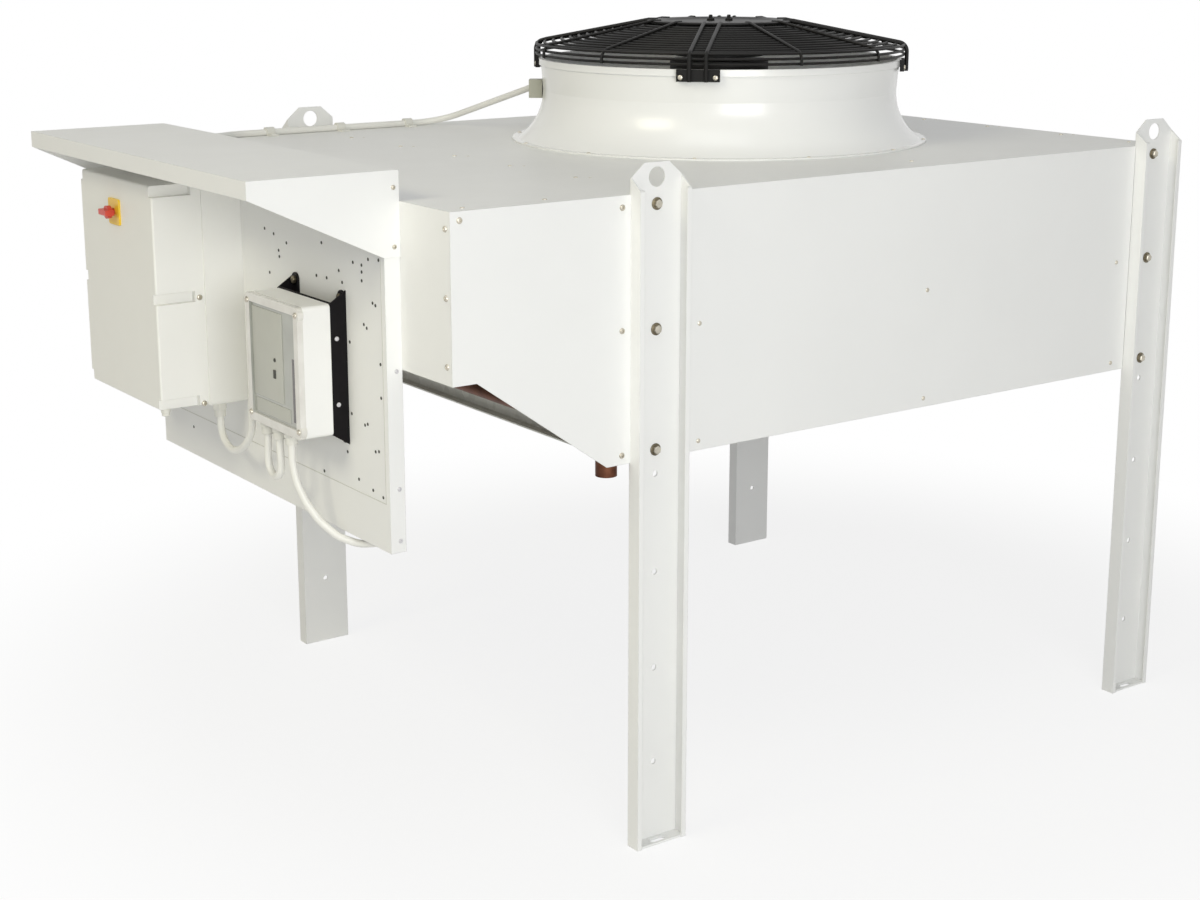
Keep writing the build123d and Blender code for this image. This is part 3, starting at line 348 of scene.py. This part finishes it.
by_slot = {
    "casing_paint": paint,
    "galvanised_sheet": galvanised,
    "fin_aluminium": fin_aluminium,
    "copper": copper,
    "nozzle_paint": nozzle_paint,
    "guard_black": guard_black,
    "fan_black": fan_black,
    "box_plastic": box_plastic,
    "clear_cover": clear_plastic(),
    "bracket_black": bracket_black,
    "switch_yellow": switch_yellow,
    "switch_red": switch_red,
    "gland_plastic": gland_plastic,
    "cable_white": cable_white,
}


def dress(target, material):
    """Give every material slot of an object one material."""
    if not target.material_slots:
        target.data.materials.append(material)
    for holder in target.material_slots:
        holder.link = "OBJECT"
        holder.material = material


# Solids take the material of their slot, and three have one of their own
for subpart in frame["record"]["subparts"]:
    dress(nodes[subpart["node"]], by_slot[subpart["material_slot"]])
dress(nodes["tube_sheet_left"], tube_sheet_metal())
dress(nodes["controller_housing"], housing_white)
dress(nodes["fan_terminal"], terminal_grey)

# Free cables on the routes of the solids, as smooth splines
LINK_ROUTE = [
    (-827.5, 68, 527), (-827.5, 68, 511), (-829.5, 54, 496), (-830.5, 30, 487), (-831.5, 2, 492),
    (-832.5, -23, 506), (-833.5, -44, 526), (-834.5, -50, 548), (-834.5, -49, 572), (-834.5, -54, 590),
    (-834.5, -66, 600), (-834.5, -80, 600),
]
LOOP_ROUTE = [
    (-843.5, -114, 543), (-843.5, -114, 527), (-843.5, -111.304, 510.473), (-843.5, -115.679, 494.144),
    (-843.5, -131, 487), (-843.5, -146.321, 494.144), (-843.5, -150.696, 510.473), (-843.5, -148, 527),
    (-843.5, -148, 543),
]
CABLE_RADIUS = 5


def cable(name, node, route):
    """A free cord along a route in mm, in place of its plain solid."""
    curve = bpy.data.curves.new(name, "CURVE")
    curve.dimensions = "3D"
    spline = curve.splines.new("NURBS")
    spline.points.add(len(route) - 1)
    for point, place in zip(spline.points, route):
        point.co = (*(value * MM for value in place), 1.0)
    spline.order_u = 3
    spline.use_endpoint_u = True
    curve.resolution_u = 10
    curve.bevel_depth = CABLE_RADIUS * MM
    curve.bevel_resolution = 6
    curve.use_fill_caps = True
    curve.materials.append(cable_white)
    piece = link(name, curve)
    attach(piece, "unit")
    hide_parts(node)


cable("link_cord", "link_cable", LINK_ROUTE)
cable("loop_cord", "loop_cable", LOOP_ROUTE)

# Mesh helpers: turned shapes, round wires and rounded boxes


def turned(mesh, place, axis, profile, sides=16, twist=0.0):
    """Add a turned shape to a mesh; the profile is (reach, rise) pairs in mm from the seat to the middle."""
    turn = Vector(axis).to_track_quat("Z", "Y").to_matrix().to_4x4()
    stand = Matrix.Translation(Vector(place) * MM) @ turn
    rings = []
    for reach, rise in profile:
        if reach == 0:
            rings.append([mesh.verts.new(stand @ Vector((0, 0, rise * MM)))])
            continue
        ring = []
        for k in range(sides):
            angle = 2 * math.pi * k / sides + twist
            spot = Vector((reach * math.cos(angle), reach * math.sin(angle), rise))
            ring.append(mesh.verts.new(stand @ (spot * MM)))
        rings.append(ring)
    for lower, upper in zip(rings, rings[1:]):
        for k in range(sides):
            start = lower if len(lower) == 1 else [lower[k], lower[(k + 1) % sides]]
            end = upper if len(upper) == 1 else [upper[(k + 1) % sides], upper[k]]
            mesh.faces.new(start + end)


def wire(mesh, route, radius, sides=10, closed=False):
    """Add a round wire along a route of points in mm."""
    points = [Vector(point) for point in route]
    count = len(points)
    rings = []
    for k, point in enumerate(points):
        before = points[k - 1] if k or closed else point
        after = points[(k + 1) % count] if k + 1 < count or closed else point
        ahead = (after - before).normalized()
        side = ahead.cross(Vector((0, 0, 1)))
        if side.length < 0.01:
            flat = points[-1] - points[0]
            side = Vector((flat.y, -flat.x, 0))
        side.normalize()
        lift = side.cross(ahead)
        ring = []
        for j in range(sides):
            angle = 2 * math.pi * j / sides
            spot = point + radius * (side * math.cos(angle) + lift * math.sin(angle))
            ring.append(mesh.verts.new(spot * MM))
        rings.append(ring)
    pairs = list(zip(rings, rings[1:]))
    if closed:
        pairs.append((rings[-1], rings[0]))
    for lower, upper in pairs:
        for j in range(sides):
            mesh.faces.new([lower[j], lower[(j + 1) % sides], upper[(j + 1) % sides], upper[j]])
    if not closed:
        mesh.faces.new(list(reversed(rings[0])))
        mesh.faces.new(rings[-1])


def slab(mesh, low, high, round_off):
    """Add a box with rounded edges between two corners in mm."""
    low, high = Vector(low) * MM, Vector(high) * MM
    size = high - low
    stand = Matrix.Translation((low + high) / 2) @ Matrix.Diagonal((*size, 1.0))
    made = bmesh.ops.create_cube(mesh, size=1.0, matrix=stand)
    edges = {edge for vertex in made["verts"] for edge in vertex.link_edges}
    bmesh.ops.bevel(mesh, geom=list(edges), offset=round_off * MM, segments=2, profile=0.7, affect="EDGES")


SHARP_ANGLE = 35.0  # steeper edges stay sharp, in degrees


def piece_from(name, mesh, material, body="unit"):
    """Turn a filled mesh into a piece that rides on a body."""
    bmesh.ops.recalc_face_normals(mesh, faces=mesh.faces)
    data = bpy.data.meshes.new(name)
    mesh.to_mesh(data)
    mesh.free()
    data.polygons.foreach_set("use_smooth", [True] * len(data.polygons))
    data.set_sharp_from_angle(angle=math.radians(SHARP_ANGLE))
    data.materials.append(material)
    made = link(name, data)
    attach(made, body)
    return made


# Directions, and the faces of the solids that carry the small parts, in mm
UP, DOWN = (0, 0, 1), (0, 0, -1)
FRONT, BACK = (0, -1, 0), (0, 1, 0)
LEFT, RIGHT = (-1, 0, 0), (1, 0, 0)
TOP_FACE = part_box("top_plate")[1].z / MM
FRONT_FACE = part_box("front_panel")[0].y / MM
BACK_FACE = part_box("back_panel")[1].y / MM
HEADER_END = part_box("header_end_panel")[0].x / MM
FAR_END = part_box("end_panel")[1].x / MM
CANOPY_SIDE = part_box("panel_canopy")[1].y / MM
CANOPY_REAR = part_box("panel_canopy")[1].x / MM
PANEL_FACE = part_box("control_panel")[0].x / MM
PANEL_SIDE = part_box("control_panel")[1].y / MM
COVER_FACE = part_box("controller_cover")[0].x / MM
bracket_low, bracket_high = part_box("controller_bracket")
lid_low, lid_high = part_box("enclosure_lid")
leg_low, leg_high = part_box("leg_front_right")
LEG_MIDDLE = (leg_low.x + leg_high.x) / 2 / MM
LONG_SIDES = ((FRONT_FACE, FRONT), (BACK_FACE, BACK))

# Fan guard in round wire, on the lines of the solid guard
BAR_MIDDLE, SHOULDER = 287.0, 1018.0
ARM_RADIUS, SPOKE_RADIUS, RING_RADIUS = 3.0, 2.2, 2.0
ARM_INSIDE, ARM_UNDER = BAR_MIDDLE - ARM_RADIUS, SHOULDER - ARM_RADIUS
BEND_RADIUS, BEND_ANGLE, BEND_STEPS = 14.0, 80.0, 6
PLATE_UNDER, PLATE_REACH, PLATE_LAP = 1046.0, 112.0, 14.0
SPOKE_RISE = 6.0  # top of arms and spokes above the plate's underside
ARM_ANGLES = [45.0 + 90.0 * k for k in range(4)]
ARM_OFFSET, ARM_FOOT = 12.0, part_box("fan_guard")[0].z / MM
SPOKE_STEPS, SPOKE_FOOT = (30.0, 60.0), 998.0
WIRE_BITE = 1.0  # rings and arms run this far into each other
RING_INSET = RING_RADIUS - WIRE_BITE
SIDE_RINGS, SIDE_DROP = 3, 22.0
TOP_RINGS, RING_POINTS = 12, 96
TOP_STEP = (ARM_INSIDE - PLATE_REACH) / (TOP_RINGS + 1)
SLOPE = (PLATE_UNDER - ARM_UNDER) / (ARM_INSIDE - PLATE_REACH)
GUARD_PLATE = [
    (0, 0), (PLATE_REACH - 3, 0), (PLATE_REACH, 1), (PLATE_REACH, 3), (PLATE_REACH - 2, 4),
    (84, 4), (80, 2.5), (30, 2.5), (0, 2.5),
]
STUD_ANGLE, STUD_REACH = -35.0, 14.0
STUD = [(3.0, 2.0), (3.0, 10.6), (2.2, 11.6), (0, 11.8)]
STUD_NUT = [(6.4, 2.0), (6.4, 5.6), (5.6, 6.4), (3.0, 6.6)]


def around(angle, reach, offset, height):
    """A point about the fan's axis, at a reach and a sideways offset along an angle in degrees."""
    turn = math.radians(angle)
    return (
        reach * math.cos(turn) - offset * math.sin(turn),
        reach * math.sin(turn) + offset * math.cos(turn),
        height,
    )


def spoke_route(angle, offset, foot, radius):
    """From the foot up beside the rim, round the shoulder and up the slope to the plate."""
    route = [(BAR_MIDDLE, foot)]
    for k in range(BEND_STEPS + 1):
        turn = math.radians(BEND_ANGLE * k / BEND_STEPS)
        reach = BAR_MIDDLE - BEND_RADIUS * (1 - math.cos(turn))
        route.append((reach, SHOULDER - BEND_RADIUS + BEND_RADIUS * math.sin(turn)))
    end_height = PLATE_UNDER + SPOKE_RISE - radius
    route.append((PLATE_REACH, end_height))
    route.append((PLATE_REACH - PLATE_LAP, end_height))
    return [around(angle, reach, offset, height) for reach, height in route]


def ring_route(reach, height):
    """A level circle about the fan's axis."""
    return [around(360.0 / RING_POINTS * k, reach, 0.0, height) for k in range(RING_POINTS)]


mesh = bmesh.new()
for arm in ARM_ANGLES:
    for offset in (-ARM_OFFSET, ARM_OFFSET):
        wire(mesh, spoke_route(arm, offset, ARM_FOOT, ARM_RADIUS), ARM_RADIUS)
    for step in SPOKE_STEPS:
        wire(mesh, spoke_route(arm + step, 0.0, SPOKE_FOOT, SPOKE_RADIUS), SPOKE_RADIUS)
for k in range(SIDE_RINGS):
    route = ring_route(ARM_INSIDE - RING_INSET, ARM_UNDER - k * SIDE_DROP / SIDE_RINGS)
    wire(mesh, route, RING_RADIUS, sides=8, closed=True)
for k in range(1, TOP_RINGS + 1):
    route = ring_route(ARM_INSIDE - k * TOP_STEP, ARM_UNDER - RING_INSET + k * TOP_STEP * SLOPE)
    wire(mesh, route, RING_RADIUS, sides=8, closed=True)
turned(mesh, (0, 0, PLATE_UNDER), UP, GUARD_PLATE, sides=96)
for reach in (-STUD_REACH, STUD_REACH):
    turned(mesh, around(STUD_ANGLE, reach, 0.0, PLATE_UNDER), UP, STUD, sides=12)
    turned(mesh, around(STUD_ANGLE, reach, 0.0, PLATE_UNDER), UP, STUD_NUT, sides=6)
guard = piece_from("guard_wires", mesh, guard_black)
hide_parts("fan_guard")

# Outlines of screws, bolts and holes
WASHER = [(8.0, 0), (8.0, 1.2), (7.4, 1.6), (5.0, 1.7)]
HEX_HEAD = [(5.6, 1.5), (5.6, 5.4), (4.8, 6.2), (0, 6.4)]
PAN_SCREW = [(4.0, 0), (3.9, 0.7), (3.2, 1.7), (2.1, 2.1), (1.5, 2.1), (1.1, 1.1), (0, 1.0)]
SMALL_SCREW = [(3.0, 0), (2.9, 0.6), (2.2, 1.4), (1.2, 1.6), (0.9, 0.8), (0, 0.7)]
RIVET = [(3.2, 0), (3.1, 0.5), (2.2, 1.2), (0, 1.5)]
HOLE = [(2.2, 0), (2.2, 0.25), (0, 0.3)]

# Leg bolts on their washers; the washers' dark zinc is partly painted shade round the heads
BOLT_HEIGHTS = (855, 696, 539)
BOLT_TWIST = 0.3
washers, heads = bmesh.new(), bmesh.new()
for leg_x in (-LEG_MIDDLE, LEG_MIDDLE):
    for face, axis in LONG_SIDES:
        for height in BOLT_HEIGHTS:
            turned(washers, (leg_x, face, height), axis, WASHER, sides=24)
            turned(heads, (leg_x, face, height), axis, HEX_HEAD, sides=6, twist=BOLT_TWIST)
piece_from("leg_washers", washers, dark_zinc)
piece_from("leg_bolts", heads, zinc)

# Screws and rivets of the casing: sides, ends, canopy, nozzle, top plate and guard feet
COVER_SCREWS = ((-524, 854), (-524, 699.5), (-524, 539), (-758, 858))
SEAM_PLACES, SEAM_HEIGHTS = (-401, 4.6, 402), (695, 539.5)
END_SCREW_SIDE, END_SCREW_HEIGHTS = 452, (848, 766, 683.5)
END_RIVET_SIDE = 400
SIDE_SCREW_X = -779  # in the folded sides of canopy and panel
CANOPY_SCREW_HEIGHTS = (886, 814)
NOZZLE_RIVETS, NOZZLE_RIVET_REACH, FLANGE_THICKNESS = 12, 316.5, 2.5
TOP_ROWS, TOP_ROW_PLACES = (-470, 466), (326, 173, 19, -127, -285, -420)
HOLE_ASIDE, HOLE_AHEAD = 15, 12
TOP_RIVETS = (
    (-636, 201), (-636, 9), (-630, -58), (-741, -442), (-622, -438), (-741, 442), (-622, 438), (18, -409),
)
FOOT_SCREW_OFFSET, FOOT_SCREW_HEIGHT = 25, 982
mesh = bmesh.new()
for face, axis in LONG_SIDES:
    for x, z in COVER_SCREWS:
        turned(mesh, (x, face, z), axis, PAN_SCREW)
    for x in SEAM_PLACES:
        for z in SEAM_HEIGHTS:
            turned(mesh, (x, face, z), axis, RIVET)
for y in (-END_SCREW_SIDE, END_SCREW_SIDE):
    for z in END_SCREW_HEIGHTS:
        turned(mesh, (HEADER_END, y, z), LEFT, PAN_SCREW)
for y in (-END_RIVET_SIDE, 0, END_RIVET_SIDE):
    for z in SEAM_HEIGHTS:
        turned(mesh, (FAR_END, y, z), RIGHT, RIVET)
for side in (-1, 1):
    for z in CANOPY_SCREW_HEIGHTS:
        turned(mesh, (SIDE_SCREW_X, side * CANOPY_SIDE, z), (0, side, 0), SMALL_SCREW)
for k in range(NOZZLE_RIVETS):
    angle = 360 / NOZZLE_RIVETS * (k + 0.5)
    turned(mesh, around(angle, NOZZLE_RIVET_REACH, 0, TOP_FACE + FLANGE_THICKNESS), UP, RIVET)
for x in TOP_ROWS:
    for y in TOP_ROW_PLACES:
        turned(mesh, (x, y, TOP_FACE), UP, RIVET)
        turned(mesh, (x + HOLE_ASIDE, y - HOLE_AHEAD, TOP_FACE), UP, HOLE)
for x, y in TOP_RIVETS:
    turned(mesh, (x, y, TOP_FACE), UP, RIVET)
for arm in ARM_ANGLES:
    for offset in (-FOOT_SCREW_OFFSET, FOOT_SCREW_OFFSET):
        place = around(arm, ARM_INSIDE, offset, FOOT_SCREW_HEIGHT)
        turned(mesh, place, around(arm, 1, 0, 0), PAN_SCREW)
piece_from("casing_screws", mesh, zinc)

# Screws in the panel's folded sides
PANEL_SCREW_HEIGHTS = (660, 510, 443)
mesh = bmesh.new()
for side in (-1, 1):
    for z in PANEL_SCREW_HEIGHTS:
        turned(mesh, (SIDE_SCREW_X, side * PANEL_SIDE, z), (0, side, 0), SMALL_SCREW)
piece_from("panel_screws", mesh, pale_screw)

# Small holes and a fine groove in the panel's face, as (Y, Z) places and limits; both are drawn as raised
# marks of painted shade
PANEL_HOLES = [
    (-22.5, 798), (-49, 794), (-85.5, 786.5), (-62, 773.5), (-63.5, 765.5), (-33, 740), (-184, 799.5),
    (-167.5, 755), (-195.5, 756), (-236.5, 756), (-228.5, 770), (-266, 785.5), (-288, 785), (-305, 794.5),
    (-331, 797), (-288, 776.5), (-287.5, 765.5), (-313.5, 741.5), (-320.5, 739.5), (-290, 711),
    (-297, 707.5), (-329.5, 667.5), (-329, 625), (-293, 584.5), (-286, 582), (-238, 537), (-311.5, 553),
    (-320, 555), (-172, 496.5), (-266, 507), (-302.5, 501), (-328, 497.5), (-252, 682.5), (-252, 590),
    (22, 560), (60, 486), (140, 478), (240, 470), (310, 540),
]
mesh = bmesh.new()
# Each hole is a flat black disc: painted shade in place of its depth.
for y, z in PANEL_HOLES:
    turned(mesh, (PANEL_FACE, y, z), LEFT, HOLE, sides=12)
piece_from("panel_holes", mesh, black_and_hole_shade)

# The groove is a grey strip standing proud of the face: painted shade.
GROOVE_SIDES, GROOVE_LOW, GROOVE_HIGH = (-336, 330), 490, 800
GROOVE_WIDTH, GROOVE_HALF_DEPTH, GROOVE_ROUND = 1.2, 0.3, 0.2
groove_front, groove_back = PANEL_FACE - GROOVE_HALF_DEPTH, PANEL_FACE + GROOVE_HALF_DEPTH
mesh = bmesh.new()
slab(
    mesh, (groove_front, GROOVE_SIDES[0], GROOVE_LOW),
    (groove_back, GROOVE_SIDES[1], GROOVE_LOW + GROOVE_WIDTH), GROOVE_ROUND,
)
for y in GROOVE_SIDES:
    slab(mesh, (groove_front, y, GROOVE_LOW), (groove_back, y + GROOVE_WIDTH, GROOVE_HIGH), GROOVE_ROUND)
piece_from("panel_groove", mesh, groove_shade_grey)

# Folded rear edge of the canopy, with a gap for the fan's cable
FOLD_STRETCHES = ((-342.5, 268), (308, 342.5))
FOLD_LOW, FOLD_HIGH, FOLD_ROUND = 861, 904.8, 0.4
FOLD_INSET, FOLD_THICKNESS = 0.3, 1.9
fold_back = CANOPY_REAR - FOLD_INSET
fold_front = fold_back - FOLD_THICKNESS
mesh = bmesh.new()
for low_y, high_y in FOLD_STRETCHES:
    slab(mesh, (fold_front, low_y, FOLD_LOW), (fold_back, high_y, FOLD_HIGH), FOLD_ROUND)
piece_from("canopy_flange", mesh, paint)

# Inner plate, lower strip and adjusters behind the controller's window, as (Y, Z) places and corners
PLATE_LOW, PLATE_HIGH = (-197, 600), (-115, 716)
STRIP_LOW, STRIP_HIGH = (-214, 578), (-119, 596)
SLIDER_LOW, SLIDER_HIGH = (-178, 630), (-172, 641)
DIAL_PLACE = (-176, 654)
DIAL = [(2.6, 0), (2.6, 0.8), (2.0, 1.2), (0, 1.2)]
WINDOW_DEPTH, SINK = 3.0, 0.2
PLATE_THICKNESS, STRIP_THICKNESS, SLIDER_RISE = 1.3, 1.0, 1.2
PLATE_ROUND, STRIP_ROUND, SLIDER_ROUND = 0.5, 0.4, 0.5
plate_back = COVER_FACE + WINDOW_DEPTH + SINK
plate_front = plate_back - PLATE_THICKNESS
mesh = bmesh.new()
slab(mesh, (plate_front, *PLATE_LOW), (plate_back, *PLATE_HIGH), PLATE_ROUND)
slab(mesh, (plate_back - STRIP_THICKNESS, *STRIP_LOW), (plate_back, *STRIP_HIGH), STRIP_ROUND)
piece_from("controller_plate", mesh, plate_grey)
mesh = bmesh.new()
turned(mesh, (plate_front, *DIAL_PLACE), LEFT, DIAL)
slab(mesh, (plate_front - SLIDER_RISE, *SLIDER_LOW), (plate_front + SINK, *SLIDER_HIGH), SLIDER_ROUND)
piece_from("controller_adjusters", mesh, black_and_hole_shade)

# Screws in the sides of the controller's bracket, pale as a painted highlight
BRACKET_SCREW_X, BRACKET_SCREW_HEIGHTS = -807, (687, 602)
mesh = bmesh.new()
for z in BRACKET_SCREW_HEIGHTS:
    turned(mesh, (BRACKET_SCREW_X, bracket_low.y / MM, z), FRONT, SMALL_SCREW)
    turned(mesh, (BRACKET_SCREW_X, bracket_high.y / MM, z), BACK, SMALL_SCREW)
piece_from("controller_screws", mesh, pale_screw)

# Screws in the sides of the enclosure's lid and in the corners of the controller's cover
LID_SCREW_X, LID_SCREW_HEIGHTS = -857, (700, 552)
CORNER_PLACES, CORNER_HEIGHTS = (-240, -105), (573, 722)
mesh = bmesh.new()
for z in LID_SCREW_HEIGHTS:
    turned(mesh, (LID_SCREW_X, lid_low.y / MM, z), FRONT, PAN_SCREW)
    turned(mesh, (LID_SCREW_X, lid_high.y / MM, z), BACK, PAN_SCREW)
for y in CORNER_PLACES:
    for z in CORNER_HEIGHTS:
        turned(mesh, (COVER_FACE, y, z), LEFT, PAN_SCREW)
piece_from("box_screws", mesh, zinc)

# Plug under the enclosure's lid
PLUG_PLACE = (-908, 66)
PLUG = [(6.5, -0.5), (6.5, 5.0), (5.6, 5.6), (5.6, 9.0), (4.6, 10.0), (0, 10.2)]
mesh = bmesh.new()
turned(mesh, (*PLUG_PLACE, lid_low.z / MM), DOWN, PLUG, sides=20)
piece_from("lid_plug", mesh, gland_plastic)

# Four tabs at the corners of the controller's bracket, each with a round end and a bolt
TABS = ((-119.5, -100.5, 5.0), (-244.5, -225.5, 10.0))  # low side, high side, inset from the bracket's edge
TAB_LENGTH, TAB_THICKNESS, TAB_ROUND = 22, 2.4, 0.6
TAB_END = [(9.4, 0), (9.4, 2.0), (9.0, TAB_THICKNESS), (0, TAB_THICKNESS)]
TAB_BOLT = [(5.5, 0), (5.5, 3.2), (4.8, 3.8), (0, 4.0)]
tab_front, tab_back = PANEL_FACE - TAB_THICKNESS, PANEL_FACE + SINK
mesh, bolts = bmesh.new(), bmesh.new()
for low_y, high_y, inset in TABS:
    middle = (low_y + high_y) / 2
    for edge, toward in ((bracket_high.z / MM, -1), (bracket_low.z / MM, 1)):
        seat = edge + toward * inset
        low_z, high_z = sorted((seat, seat + toward * TAB_LENGTH))
        slab(mesh, (tab_front, low_y, low_z), (tab_back, high_y, high_z), TAB_ROUND)
        turned(mesh, (PANEL_FACE, middle, seat), LEFT, TAB_END, sides=24)
        turned(bolts, (tab_front, middle, seat), LEFT, TAB_BOLT, sides=6)
piece_from("bracket_tabs", mesh, bracket_black)
piece_from("bracket_bolts", bolts, dark_zinc)

# Surroundings: white where they are seen, and dimmer as light
WORLD_LIGHT, WORLD_SEEN = 0.30, 1.0
world = bpy.data.worlds.new("studio")
world.use_nodes = True
scene.world = world
tree = world.node_tree
background = tree.nodes["Background"]
tree.links.new(remap(tree, seen_rays(tree), WORLD_LIGHT, WORLD_SEEN), background.inputs["Strength"])
background.inputs["Color"].default_value = (1, 1, 1, 1)

# Pale floor with a soft shadow, which turns to plain white away from the part; in metres
FLOOR_HALF, FLOOR_DROP = 14.0, 0.3 * MM
WHITE_FROM, WHITE_TO = 0.75, 1.5
WHITE_NEAR, WHITE_FAR = 0.82, 1.0
mesh = bmesh.new()
bmesh.ops.create_grid(mesh, x_segments=8, y_segments=8, size=FLOOR_HALF)
floor_data = bpy.data.meshes.new("floor")
mesh.to_mesh(floor_data)
mesh.free()
floor = link("floor", floor_data)
floor.location.z = -FLOOR_DROP
made, tree, shader, place = new_material("floor")
tint = ramp(tree, noise(tree, place, 0.8, 2.0), [(0.3, (0.9, 0.9, 0.9)), (0.7, (0.92, 0.92, 0.92))])
tree.links.new(tint, shader.inputs["Base Color"])
shader.inputs["Roughness"].default_value = 0.9
shader.inputs["Specular IOR Level"].default_value = 0.0
away = add(tree, "ShaderNodeVectorMath", {0: place}, operation="LENGTH").outputs["Value"]
plain = remap(tree, away, WHITE_NEAR, WHITE_FAR, WHITE_FROM, WHITE_TO, interpolation_type="SMOOTHSTEP")
glow = math_node(tree, "MULTIPLY", plain, seen_rays(tree))
white = add(tree, "ShaderNodeEmission", {"Color": (1, 1, 1, 1), "Strength": 1.0}).outputs["Emission"]
mixed = add(tree, "ShaderNodeMixShader", {0: glow, 1: shader.outputs["BSDF"], 2: white}).outputs["Shader"]
tree.links.new(mixed, tree.nodes["Material Output"].inputs["Surface"])
floor_data.materials.append(made)

# Three soft lamps, in metres and watts


def lamp(name, place, aim, size, power, colour):
    """A soft rectangular lamp that looks at a point."""
    data = bpy.data.lights.new(name, "AREA")
    data.shape = "RECTANGLE"
    data.size, data.size_y = size
    data.energy = power
    data.color = colour
    made = link(name, data)
    made.location = place
    made.rotation_euler = (Vector(aim) - Vector(place)).to_track_quat("-Z", "Y").to_euler()


lamp(
    "front_lamp", place=(-1.7, -3.7, 1.25), aim=(-0.35, -0.3, 0.6),
    size=(1.9, 1.5), power=64, colour=(0.99, 0.995, 1.0),
)
lamp(
    "side_lamp", place=(-3.9, -0.6, 3.1), aim=(-0.4, 0, 0.6),
    size=(1.6, 1.3), power=46, colour=(1.0, 0.95, 0.73),
)
lamp(
    "top_lamp", place=(-1.2, -1.4, 3.6), aim=(-0.2, 0, 0.9),
    size=(1.8, 1.8), power=13, colour=(0.92, 0.97, 1.0),
)
